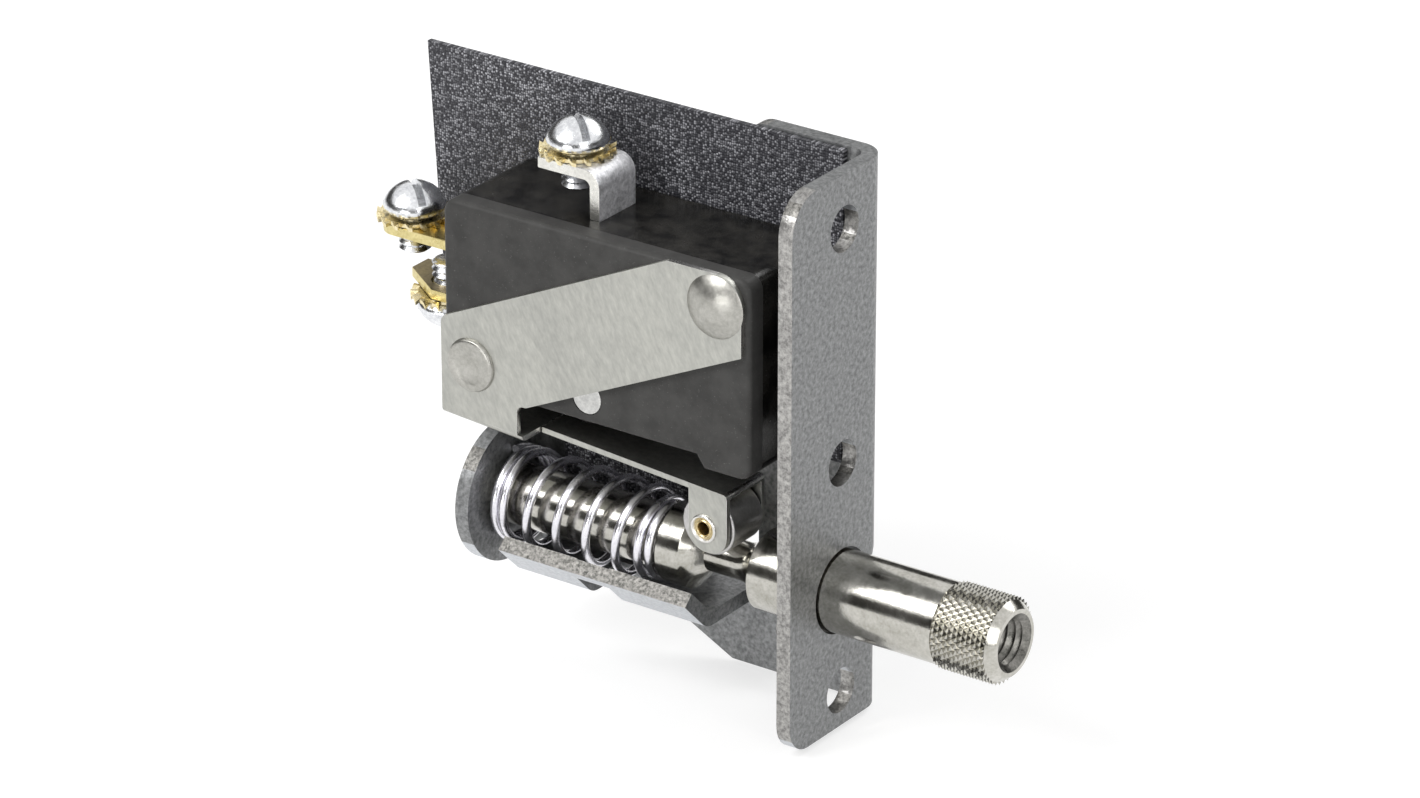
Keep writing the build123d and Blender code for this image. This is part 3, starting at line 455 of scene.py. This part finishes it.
case_moulding = moulding_finish("black_moulding", (0.0165, 0.0155, 0.0135), 0.20, mottle=0.8)
cover_moulding = moulding_finish(
    "cover_moulding", (0.058, 0.057, 0.055), 0.42, shine=0.14, mottle=0.16
)
for node, name, finish in (
    ("switch_case", "case_moulding", case_moulding),
    ("switch_cover", "cover_moulding", cover_moulding),
):
    piece = copied_from_cad(node, name, finish, sharp=28)
    declare(piece, "frame", "moulding", node)

# Works inside the switch. The snap blade is rolled copper alloy, the contacts are silver
# rivets, and the button is turned from black plastic.
copper_strip = metal_finish(
    "rolled_copper_alloy",
    bright=(0.62, 0.36, 0.22),
    dull=(0.44, 0.25, 0.14),
    smooth=0.25,
    rough=0.40,
    grain=5.0,
)
contact_silver = metal_finish(
    "contact_silver",
    bright=(0.80, 0.79, 0.75),
    dull=(0.60, 0.58, 0.54),
    smooth=0.22,
    rough=0.38,
    cloud=1.2,
    grain=7.0,
)
button_plastic = moulding_finish("button_plastic", (0.022, 0.020, 0.020), 0.30)
for node, name, body, slot, finish in (
    ("snap_blade", "snap_blade_strip", "blade", "copper_alloy", copper_strip),
    ("moving_contact", "moving_contact_rivet", "blade", "contact_silver", contact_silver),
    ("normally_closed_contact", "closed_contact_rivet", "frame", "contact_silver", contact_silver),
    ("normally_open_contact", "open_contact_rivet", "frame", "contact_silver", contact_silver),
    ("switch_button", "button_turning", "button", "button_plastic", button_plastic),
):
    piece = copied_from_cad(node, name, finish)
    declare(piece, body, slot, node)

# Cover pins. Plain steel pins pressed through the cover into the case, which hold the two
# halves together, with their flat heads let in flush with the cover.
pin_steel = metal_finish(
    "pin_steel",
    bright=(0.66, 0.66, 0.64),
    dull=(0.46, 0.46, 0.45),
    smooth=0.30,
    rough=0.45,
    cloud=1.5,
    grain=6.0,
    bump=0.3,
)
for node in ("lower_cover_pin", "upper_cover_pin"):
    piece = copied_from_cad(node, node + "_turning", pin_steel, edge_width=0.12)
    declare(piece, "frame", "spring_steel", node)

# Terminals. Stamped straps: the common one silver plated, the two end ones plain brass,
# the lower one darker with painted shade below the upper one. Their blanked edges are slightly rounded.
silvered_strap = metal_finish(
    "silvered_strap",
    bright=(0.88, 0.88, 0.90),
    dull=(0.48, 0.48, 0.50),
    smooth=0.46,
    rough=0.64,
    cloud=0.7,
    grain=2.8,
    share=0.75,
    bump=0.5,
    metallic=0.7,
)
yellow_brass = metal_finish(
    "yellow_brass",
    bright=(0.76, 0.62, 0.26),
    dull=(0.48, 0.37, 0.13),
    smooth=0.22,
    rough=0.42,
    grain=3.2,
    share=0.6,
    bump=0.3,
)
# The lower end terminal lies below the upper one: a darker copy of the brass, painted shade.
painted_shade_brass = metal_finish(
    "painted_shade_brass",
    bright=(0.44, 0.36, 0.20),
    dull=(0.26, 0.21, 0.12),
    smooth=0.26,
    rough=0.48,
    grain=3.2,
    share=0.6,
    bump=0.3,
)
strap_edge = metal_finish(
    "strap_edge",
    bright=(0.86, 0.85, 0.80),
    dull=(0.62, 0.61, 0.57),
    smooth=0.18,
    rough=0.32,
    cloud=0.6,
    bump=0.3,
)
brass_edge = metal_finish(
    "brass_edge",
    bright=(0.80, 0.70, 0.36),
    dull=(0.52, 0.43, 0.18),
    smooth=0.20,
    rough=0.38,
    cloud=0.6,
    bump=0.3,
)
for node, slot, finish, edge in (
    ("common_terminal", "silvered_brass", silvered_strap, strap_edge),
    ("normally_open_terminal", "terminal_brass", yellow_brass, brass_edge),
    ("normally_closed_terminal", "terminal_brass", painted_shade_brass, brass_edge),
):
    piece = copied_from_cad(node, node + "_strap", finish, edge_width=0.12)
    piece.data.materials.append(edge)
    for face in piece.data.polygons:
        flat_end = node != "common_terminal" and abs(face.normal.z) < aslant
        if abs(face.normal.y) > aslant or flat_end:
            face.material_index = edge_slot
    declare(piece, "frame", slot, node)

# Terminal screws. Slotted steel screws with domed heads, bright zinc plated, clamping a
# brass washer with twisted outer teeth. The lower end screw is put in from below.


def turned(name, stations, sides, finish):
    """A turned piece grown ring by ring along Z; stations are (height, radius) in millimetres.

    A radius of 0 at the first or last station closes that end, and a last station that is
    the first one again makes a closed ring.
    """
    tip_r, join_gap = 0.02, 0.001 * MM
    (first_z, first_r), *others = stations
    height, radius = first_z, max(first_r, tip_r)
    bpy.ops.mesh.primitive_circle_add(
        vertices=sides, radius=radius * MM, fill_type="NOTHING", location=(0, 0, height * MM)
    )
    piece = bpy.context.active_object
    piece.name = piece.data.name = name
    bpy.ops.object.transform_apply(location=True, rotation=False, scale=False)
    bpy.ops.object.mode_set(mode="EDIT")
    bpy.ops.mesh.select_all(action="SELECT")
    if first_r == 0:
        bpy.ops.mesh.edge_face_add()
    for next_z, next_r in others:
        grown = max(next_r, tip_r) / radius
        bpy.ops.mesh.extrude_region_move(
            TRANSFORM_OT_translate={"value": (0, 0, (next_z - height) * MM)}
        )
        bpy.ops.transform.resize(value=(grown, grown, 1), center_override=(0, 0, next_z * MM))
        height, radius = next_z, max(next_r, tip_r)
    if others[-1] == stations[0]:
        bpy.ops.mesh.select_all(action="SELECT")
        bpy.ops.mesh.remove_doubles(threshold=join_gap)
    elif others[-1][1] == 0 and first_r:
        bpy.ops.mesh.edge_face_add()
    bpy.ops.mesh.select_all(action="SELECT")
    bpy.ops.mesh.normals_make_consistent(inside=False)
    bpy.ops.object.mode_set(mode="OBJECT")
    piece.data.materials.append(finish)
    return piece


def set_in_place(piece, place, turn=(0, 0, 0)):
    """Turns a finished piece by these degrees, moves it to its place and applies both."""
    only(piece)
    piece.rotation_euler = [math.radians(angle) for angle in turn]
    piece.location = place
    bpy.ops.object.transform_apply(location=True, rotation=True, scale=True)


def own_copy(piece, name):
    """A copy of a piece with a mesh of its own."""
    twin = piece.copy()
    twin.data = piece.data.copy()
    twin.name = twin.data.name = name
    bpy.context.scene.collection.objects.link(twin)
    return twin


def domed(crown_z, rim_z, rim_r):
    """Stations from the top of a dome down to its rim, on one arc that starts level."""
    steps = 7
    drop = crown_z - rim_z
    bend_r = (rim_r**2 + drop**2) / (2 * drop)
    sweep = math.asin(rim_r / bend_r)
    angles = [sweep * step / steps for step in range(steps + 1)]
    return [(crown_z - bend_r * (1 - math.cos(a)), bend_r * math.sin(a)) for a in angles]


def slotted_screw(name, strap, finish):
    """A domed screw standing on its strap, which is at Z = 0, with its washer's room above."""
    washer, crown, rim, head_r, chamfer = 0.5, 2.95, 1.3, 2.4, 0.1
    major_r, minor_r, pitch, reach = 1.25, 1.02, 0.5, 1.7
    slot_width, slot_depth, slot_turn = 0.6, 1.2, 54
    sides, worn_edge, sharp = 48, 0.05, 38
    head_side = [(rim - 0.25, head_r - 0.02), (rim - 0.5, head_r - 0.14)]
    under_head = [(washer + chamfer, head_r - 0.42), (washer, head_r - 0.6), (washer, major_r)]
    stations = domed(crown, rim, head_r) + head_side + under_head
    stations.append((-strap + chamfer, major_r))
    thread_z = -strap
    while thread_z > -strap - reach + pitch:
        stations += [(thread_z - pitch / 2, minor_r), (thread_z - pitch, major_r)]
        thread_z -= pitch
    stations += [(-strap - reach, minor_r), (-strap - reach, 0)]
    screw = turned(name, stations, sides, finish)
    bpy.ops.mesh.primitive_cube_add(size=2 * MM, location=(0, 0, crown * MM))
    cutter = bpy.context.active_object
    cutter.scale = (slot_width / 2, 2 * head_r, slot_depth)
    cutter.rotation_euler.z = math.radians(slot_turn)
    bpy.context.view_layer.update()
    only(screw)
    slot = screw.modifiers.new("slot", "BOOLEAN")
    slot.object = cutter
    slot.operation = "DIFFERENCE"
    bpy.ops.object.modifier_apply(modifier=slot.name)
    bpy.data.objects.remove(cutter)
    ease_edges(screw, worn_edge, sharp=sharp)
    return screw


def toothed_washer(name, finish):
    """A ring with sixteen outer teeth, each twisted up at one side."""
    inner_r, body_r, tooth_r, low, high = 1.35, 2.3, 2.9, 0.06, 0.34
    teeth, steps_per_tooth, tooth_steps = 16, 4, 2
    raised, lowered, slack = 0.36, -0.05, 0.05
    sides = teeth * steps_per_tooth
    section = [(low, inner_r), (low, body_r), (high, body_r), (high, inner_r), (low, inner_r)]
    washer = turned(name, section, sides, finish)

    def on_tooth(face):
        """Whether a face is on the ring's outside, where a tooth grows."""
        step = math.atan2(face.center.y, face.center.x) / math.tau * sides
        outer = face.center.xy.length > (body_r - slack) * MM and abs(face.normal.z) < aslant
        return outer and math.floor(step) % steps_per_tooth < tooth_steps

    def grow():
        """Draws what is selected out to the tips of the teeth."""
        bpy.ops.mesh.extrude_region_move(TRANSFORM_OT_translate={"value": (0, 0, 0)})
        grown = tooth_r / body_r
        bpy.ops.transform.resize(value=(grown, grown, 1), center_override=(0, 0, 0))

    edit_where(washer, "FACE", on_tooth, grow)
    for side, lift in ((0, raised), (tooth_steps, lowered)):

        def at_tooth_side(corner):
            """Whether a corner is at a tip's one side, counted in steps round the ring."""
            step = round(math.atan2(corner.co.y, corner.co.x) / math.tau * sides)
            return corner.co.xy.length > (tooth_r - slack) * MM and step % steps_per_tooth == side

        def twist():
            """Lifts what is selected."""
            bpy.ops.transform.translate(value=(0, 0, lift * MM))

        edit_where(washer, "VERT", at_tooth_side, twist)
    ease_edges(washer, 0, sharp=20)
    return washer


bright_zinc = metal_finish(
    "bright_zinc",
    bright=(0.90, 0.91, 0.92),
    dull=(0.62, 0.63, 0.66),
    smooth=0.14,
    rough=0.28,
    cloud=1.2,
    bump=0.35,
)
bright_brass = metal_finish(
    "bright_brass",
    bright=(0.96, 0.86, 0.58),
    dull=(0.66, 0.55, 0.30),
    smooth=0.20,
    rough=0.36,
    cloud=1.4,
    grain=4.5,
    share=0.6,
    bump=0.3,
)
washer_pattern = toothed_washer("washer_pattern", bright_brass)
common_strap, end_strap = 0.9, 0.8
for end in ("common", "normally_open", "normally_closed"):
    strap_low, strap_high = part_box(f"{end}_terminal")
    head_low, head_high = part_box(f"{end}_screw")
    middle_x = (head_low[0] + head_high[0]) / 2
    middle_y = (head_low[1] + head_high[1]) / 2
    below = end == "normally_closed"
    seat_z = strap_low[2] if below else strap_high[2]
    strap = common_strap if end == "common" else end_strap
    seat = (middle_x, middle_y, seat_z)
    turn = (180, 0, 0) if below else (0, 0, 0)
    screw = slotted_screw(f"{end}_screw_turning", strap, bright_zinc)
    washer = own_copy(washer_pattern, f"{end}_toothed_washer")
    set_in_place(screw, seat, turn)
    set_in_place(washer, seat, turn)
    declare(screw, "frame", "screw_steel", f"{end}_screw")
    declare(washer, "frame", "brass", f"{end}_lock_washer")
bpy.data.objects.remove(washer_pattern)

# Actuator. A stainless strip, satin from the rolls: its side plate is riveted to the
# switch and its leaf carries the roller between two ears.
satin_strip = metal_finish(
    "satin_strip",
    bright=(0.53, 0.53, 0.49),
    dull=(0.385, 0.385, 0.36),
    smooth=0.36,
    rough=0.50,
    cloud=0.20,
    grain=2.4,
    share=0.6,
    bump=0.22,
    stretch=(1, 1, 0.35),
    turn=(0, 24, 0),
)
strip_edge = metal_finish(
    "strip_edge",
    bright=(0.86, 0.85, 0.82),
    dull=(0.66, 0.65, 0.62),
    smooth=0.20,
    rough=0.34,
    cloud=0.6,
    bump=0.2,
)
strip_edge_width = 0.5 * MM
for node, name, body in (
    ("actuator_plate", "actuator_side_plate", "frame"),
    ("roller_leaf", "roller_leaf_strip", "roller_arm"),
):
    piece = copied_from_cad(node, name, satin_strip, edge_width=0.06)
    piece.data.materials.append(strip_edge)
    for face in piece.data.polygons:
        corners = [piece.data.vertices[index].co for index in face.vertices]
        spans = sorted(max(c[axis] for c in corners) - min(c[axis] for c in corners) for axis in range(3))
        if spans[1] < strip_edge_width < spans[2]:
            face.material_index = edge_slot
    declare(piece, body, "stainless", node)

# Roller. A turned wheel of dark steel that runs on a hollow brass rivet. The rivet's ends
# are rolled over outside both ears, and the lips come out bright.
rivet_brass = metal_finish(
    "rivet_brass",
    bright=(0.74, 0.62, 0.36),
    dull=(0.42, 0.33, 0.17),
    smooth=0.20,
    rough=0.36,
    cloud=1.0,
    grain=5.0,
    bump=0.2,
)
roller_steel = metal_finish(
    "roller_steel",
    bright=(0.62, 0.61, 0.60),
    dull=(0.44, 0.43, 0.42),
    smooth=0.30,
    rough=0.44,
    cloud=0.8,
    bump=0.2,
)
lip_height, axle_r, seam_r, axle_sides = 0.22, 0.94, 0.78, 40
ear_lip = [(0, 1.14), (0.12, 1.13), (0.2, 1.04), (0.2, 0.94), (0.1, 0.86), (0.02, 0.81)]
ear_lip += [(0.02, 0.75), (0.12, 0.7), (0.16, 0.62), (0.11, 0.54), (0, 0.5)]
axle_low, axle_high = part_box("roller_pin")
axle_length = (axle_high[1] - axle_low[1]) / MM - 2 * lip_height
far_lip = [(-axle_length - height, radius) for height, radius in reversed(ear_lip)]
section = ear_lip + far_lip + [(-axle_length, axle_r), (0, axle_r), ear_lip[0]]
axle = turned("roller_hollow_rivet", section, axle_sides, rivet_brass)
axle.data.materials.append(strip_edge)
for face in axle.data.polygons:
    if face.center.xy.length > seam_r * MM:
        face.material_index = edge_slot
ease_edges(axle, 0, sharp=50)
axle_x = (axle_low[0] + axle_high[0]) / 2
axle_z = (axle_low[2] + axle_high[2]) / 2
set_in_place(axle, (axle_x, axle_low[1] + lip_height * MM, axle_z), (90, 0, 0))
declare(axle, "roller_arm", "brass", "roller_pin")
wheel = copied_from_cad("roller", "roller_turning", roller_steel)
declare(wheel, "roller", "roller_steel", "roller")

# Long rivets. Steel, through the side plate, the switch, the barrier and the back plate.
# The near head is low and dished, the far one domed; both tails are spun over behind.
rivet_steel = metal_finish(
    "rivet_steel",
    bright=(0.52, 0.51, 0.475),
    dull=(0.34, 0.335, 0.305),
    smooth=0.26,
    rough=0.40,
    cloud=0.6,
    grain=3.0,
    bump=0.3,
)


def in_mm(length):
    """A length of the frame in millimetres, to the micrometre."""
    return round(length / MM, 3)


strip_y = in_mm(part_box("actuator_plate")[0][1])
length = in_mm(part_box("bracket")[1][1]) - strip_y
rivet_r, rivet_sides, spun_r, spun_height, dish = 1.4, 48, 2.3, 0.7, 0.35
near_r, near_crown, far_r, far_crown = 2.15, 0.35, 2.5, 0.85
dished_head = [(0.14, 0), (0.16, 0.9), (0.27, 1.45), (near_crown, 1.75), (0.27, 2.02), (0, near_r)]
domed_head = domed(far_crown, 0, far_r)
tail_outline = (
    (0, spun_r),
    (0.35, spun_r * 0.97),
    (0.6, spun_r * 0.86),
    (spun_height, spun_r * 0.7),
    (spun_height - 0.08, spun_r * 0.42),
    (spun_height - dish, spun_r * 0.34),
    (spun_height - dish, 0),
)
tail = [(-length - height, radius) for height, radius in tail_outline]
for node, head in (("near_rivet", dished_head), ("far_rivet", domed_head)):
    low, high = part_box(node)
    stations = head + [(0, rivet_r), (-length, rivet_r)] + tail
    rivet = turned(node + "_turning", stations, rivet_sides, rivet_steel)
    ease_edges(rivet, 0.04, sharp=40)
    rivet_x, rivet_z = (low[0] + high[0]) / 2, (low[2] + high[2]) / 2
    set_in_place(rivet, (rivet_x, strip_y * MM, rivet_z), (90, 0, 0))
    declare(rivet, "frame", "spring_steel", node)

# Plunger. A rod turned from one bar and nickel plated bright, with a groove for the
# roller, a diamond knurl on its outer end and a thread tapped into that end.
rod_low, rod_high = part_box("plunger_rod")
rod_z = in_mm((rod_low[2] + rod_high[2]) / 2)
tail_end, shoulder, neck_from, neck_to, flare_run, rod_end = -2.95, 15.5, 18.9, 21.6, 2.3, 45.5
tab_x = in_mm(rod_low[0] - tail_end * MM)
rod_r, tail_r, neck_r, valley_r, ridge_r = 3.175, 2.45, 1.5, 3.04, 3.38
ring_groove_from, ring_groove_to, ring_groove_r = -1.88, -1.22, 1.85
knurl_sides, knurl_rows, knurl_from, knurl_to = 76, 12, 40.3, 44.8
thread_turns, thread_pitch, crest_r, root_r = 11, 0.7, 1.72, 2.05
stations = [(tail_end, 0), (tail_end, 2.15), (-2.65, tail_r)]
stations += [(ring_groove_from, tail_r), (ring_groove_from, ring_groove_r)]
stations += [(ring_groove_to, ring_groove_r), (ring_groove_to, tail_r)]
stations += [(shoulder, tail_r), (shoulder, 3.08), (15.6, rod_r), (17.6, rod_r), (17.7, 3.1)]
stations += [(neck_from, neck_r), (neck_to, neck_r)]
flare_r = ((rod_r - neck_r) ** 2 + flare_run**2) / (2 * (rod_r - neck_r))
flare_steps = 8
for step in range(1, flare_steps + 1):
    run = flare_run * step / flare_steps
    stations.append((neck_to + run, neck_r + flare_r - math.sqrt(flare_r**2 - run**2)))
stations += [(24.0, rod_r), (40.15, rod_r), (40.2, valley_r)]
for row in range(knurl_rows):
    stations.append((knurl_from + (knurl_to - knurl_from) * row / (knurl_rows - 1), valley_r))
stations += [(44.84, 3.12), (45.3, 2.78), (rod_end, 2.58), (rod_end, 2.25), (45.05, 1.75)]
for thread_turn in range(thread_turns):
    stations.append((44.85 - thread_turn * thread_pitch, root_r))
    stations.append((44.5 - thread_turn * thread_pitch, crest_r))
stations += [(36.5, crest_r), (35.45, 0)]
nickel = metal_finish(
    "polished_nickel",
    bright=(0.60, 0.585, 0.545),
    dull=(0.40, 0.39, 0.345),
    smooth=0.09,
    rough=0.22,
    cloud=0.9,
    share=0.4,
    bump=0.12,
)
# The tapped hole takes a darker copy of the metal: painted shade in the bore.
bore_painted_shade = metal_finish(
    "tapped_hole_painted_shade",
    bright=(0.30, 0.29, 0.27),
    dull=(0.10, 0.10, 0.09),
    smooth=0.22,
    rough=0.40,
)
rod = turned("plunger_turning", stations, knurl_sides, nickel)


def on_knurl(corner, ridge):
    """Whether a corner of the rod is on the knurl, and is a ridge or a valley as asked."""
    row = (corner.co.z / MM - knurl_from) / (knurl_to - knurl_from) * (knurl_rows - 1)
    side = math.atan2(corner.co.y, corner.co.x) / math.tau * knurl_sides
    slack = 0.01
    on_rows = -slack < row < knurl_rows - 1 + slack
    inside = on_rows and corner.co.xy.length > (valley_r - slack) * MM
    return inside and ((round(row) + round(side)) % 2 == 0) == ridge


def raise_ridges():
    """Moves what is selected out from the rod's axis, from the valleys to the ridges."""
    grown = ridge_r / valley_r
    bpy.ops.transform.resize(value=(grown, grown, 1), center_override=(0, 0, 0))


edit_where(rod, "VERT", lambda corner: on_knurl(corner, True), raise_ridges)
edit_where(rod, "VERT", lambda corner: on_knurl(corner, False), bpy.ops.mesh.vert_connect)
only(rod)
knurl_sharp, hole_from, hole_r, thread_slot = math.radians(24), 35, 2.1, 1
bpy.ops.object.shade_smooth_by_angle(angle=knurl_sharp)
rod.data.materials.append(bore_painted_shade)
# Faces inside the bore take the painted shade.
for face in rod.data.polygons:
    if face.center.z > hole_from * MM and face.center.xy.length < hole_r * MM:
        face.material_index = thread_slot
set_in_place(rod, (tab_x * MM, 0, rod_z * MM), (0, 90, 0))
declare(rod, "plunger", "nickel", "plunger_rod")

# Retaining ring and return spring. Both of spring steel: the ring snaps into the tail
# behind the tab, and the coil stands between the tab and the shoulder of the rod.
ring = copied_from_cad("retaining_ring", "ring_stamping", pin_steel, edge_width=0.06)
declare(ring, "plunger", "spring_steel", "retaining_ring")
bright_wire = metal_finish(
    "bright_wire",
    bright=(0.93, 0.92, 0.96),
    dull=(0.74, 0.73, 0.78),
    smooth=0.20,
    rough=0.30,
    cloud=0.8,
    grain=6.0,
    bump=0.05,
)
coil = copied_from_cad("return_spring", "spring_coil", bright_wire, sharp=60)
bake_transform(coil)
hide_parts("return_spring")

# Studio: a white floor that keeps the shadow, soft lamps, a low dark wall that only
# shows in the polished metal, and the photograph's view.
floor_gap = 0.5 * MM
floor_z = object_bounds()[0][2] - floor_gap
bpy.ops.mesh.primitive_plane_add(size=3.0, location=(0, 0, floor_z))
floor = bpy.context.active_object
floor.name = "studio_floor"


def background_share(tree):
    """One on camera, glossy and transmission rays, where the white background shows."""
    rays = tree.nodes.new("ShaderNodeLightPath")
    share = combined(tree, "MAXIMUM", rays.outputs["Is Camera Ray"], rays.outputs["Is Glossy Ray"])
    return combined(tree, "MAXIMUM", share, rays.outputs["Is Transmission Ray"])


floor_glow, room_light = 0.62, 0.42
floor_paint = bpy.data.materials.new("floor_paint")
floor_paint.use_nodes = True
tree = floor_paint.node_tree
tree.nodes.remove(tree.nodes["Principled BSDF"])
matt = tree.nodes.new("ShaderNodeBsdfDiffuse")
feed(tree, (0.5, 0.5, 0.5), matt.inputs["Color"])
glow = tree.nodes.new("ShaderNodeEmission")
feed(tree, combined(tree, "MULTIPLY", background_share(tree), floor_glow), glow.inputs["Strength"])
added = tree.nodes.new("ShaderNodeAddShader")
tree.links.new(matt.outputs[0], added.inputs[0])
tree.links.new(glow.outputs[0], added.inputs[1])
tree.links.new(added.outputs[0], tree.nodes["Material Output"].inputs["Surface"])
floor.data.materials.append(floor_paint)

world = bpy.data.worlds.new("studio")
bpy.context.scene.world = world
world.use_nodes = True
tree = world.node_tree
sky = tree.nodes["Background"]
feed(tree, (1, 1, 1), sky.inputs["Color"])
feed(tree, ranged(tree, background_share(tree), 0.0, 1.0, room_light, 1.0), sky.inputs["Strength"])

wall_r, wall_height = 0.9, 0.42
bpy.ops.mesh.primitive_cylinder_add(
    vertices=64,
    radius=wall_r,
    depth=wall_height,
    end_fill_type="NOTHING",
    location=(0, 0, floor_z + wall_height / 2),
)
dark_wall = bpy.context.active_object
dark_wall.name = "dark_wall"
wall_paint = bpy.data.materials.new("wall_paint")
wall_paint.use_nodes = True
tree = wall_paint.node_tree
feed(tree, (0.03, 0.028, 0.025), tree.nodes["Principled BSDF"].inputs["Base Color"])
dark_wall.data.materials.append(wall_paint)
dark_wall.visible_camera = False
dark_wall.visible_diffuse = False
dark_wall.visible_shadow = False


def softbox(name, place, aim, size, power):
    """A rectangular lamp of this size and power in watts, turned from its place to its aim."""
    bpy.ops.object.light_add(type="AREA", location=place)
    lamp = bpy.context.active_object
    lamp.name = name
    lamp.data.shape = "RECTANGLE"
    lamp.data.size, lamp.data.size_y = size
    lamp.data.energy = power
    lamp.rotation_euler = (Vector(aim) - Vector(place)).to_track_quat("-Z", "Y").to_euler()


middle = (-0.012, 0, 0)
for name, place, size, power in (
    ("key_softbox", (-0.25, -0.45, 0.50), (0.35, 0.35), 2.8),
    ("fill_softbox", (0.55, -0.35, 0.20), (0.30, 0.40), 1.1),
    ("front_softbox", (-0.02, -0.60, 0.03), (0.30, 0.20), 0.8),
    ("rim_softbox", (0.10, 0.45, 0.40), (0.40, 0.20), 1.3),
):
    softbox(name, place, middle, size, power)

camera_data = bpy.data.cameras.new("photo_camera")
camera = bpy.data.objects.new("photo_camera", camera_data)
bpy.context.scene.collection.objects.link(camera)
bpy.context.scene.camera = camera
azimuth, elevation, distance = math.radians(35.22), math.radians(24.42), 0.5
focus_px, image_px = 6837, 1420
aim = Vector((-9.04, -4.01, 4.26)) * MM
toward = Vector(
    (
        math.sin(azimuth) * math.cos(elevation),
        -math.cos(azimuth) * math.cos(elevation),
        math.sin(elevation),
    )
)
camera.location = aim + toward * distance
camera.rotation_euler = (-toward).to_track_quat("-Z", "Y").to_euler()
camera_data.sensor_width = 36
camera_data.lens = focus_px / image_px * camera_data.sensor_width
camera_data.clip_start = 0.01
bpy.context.scene.view_settings.view_transform = "Standard"
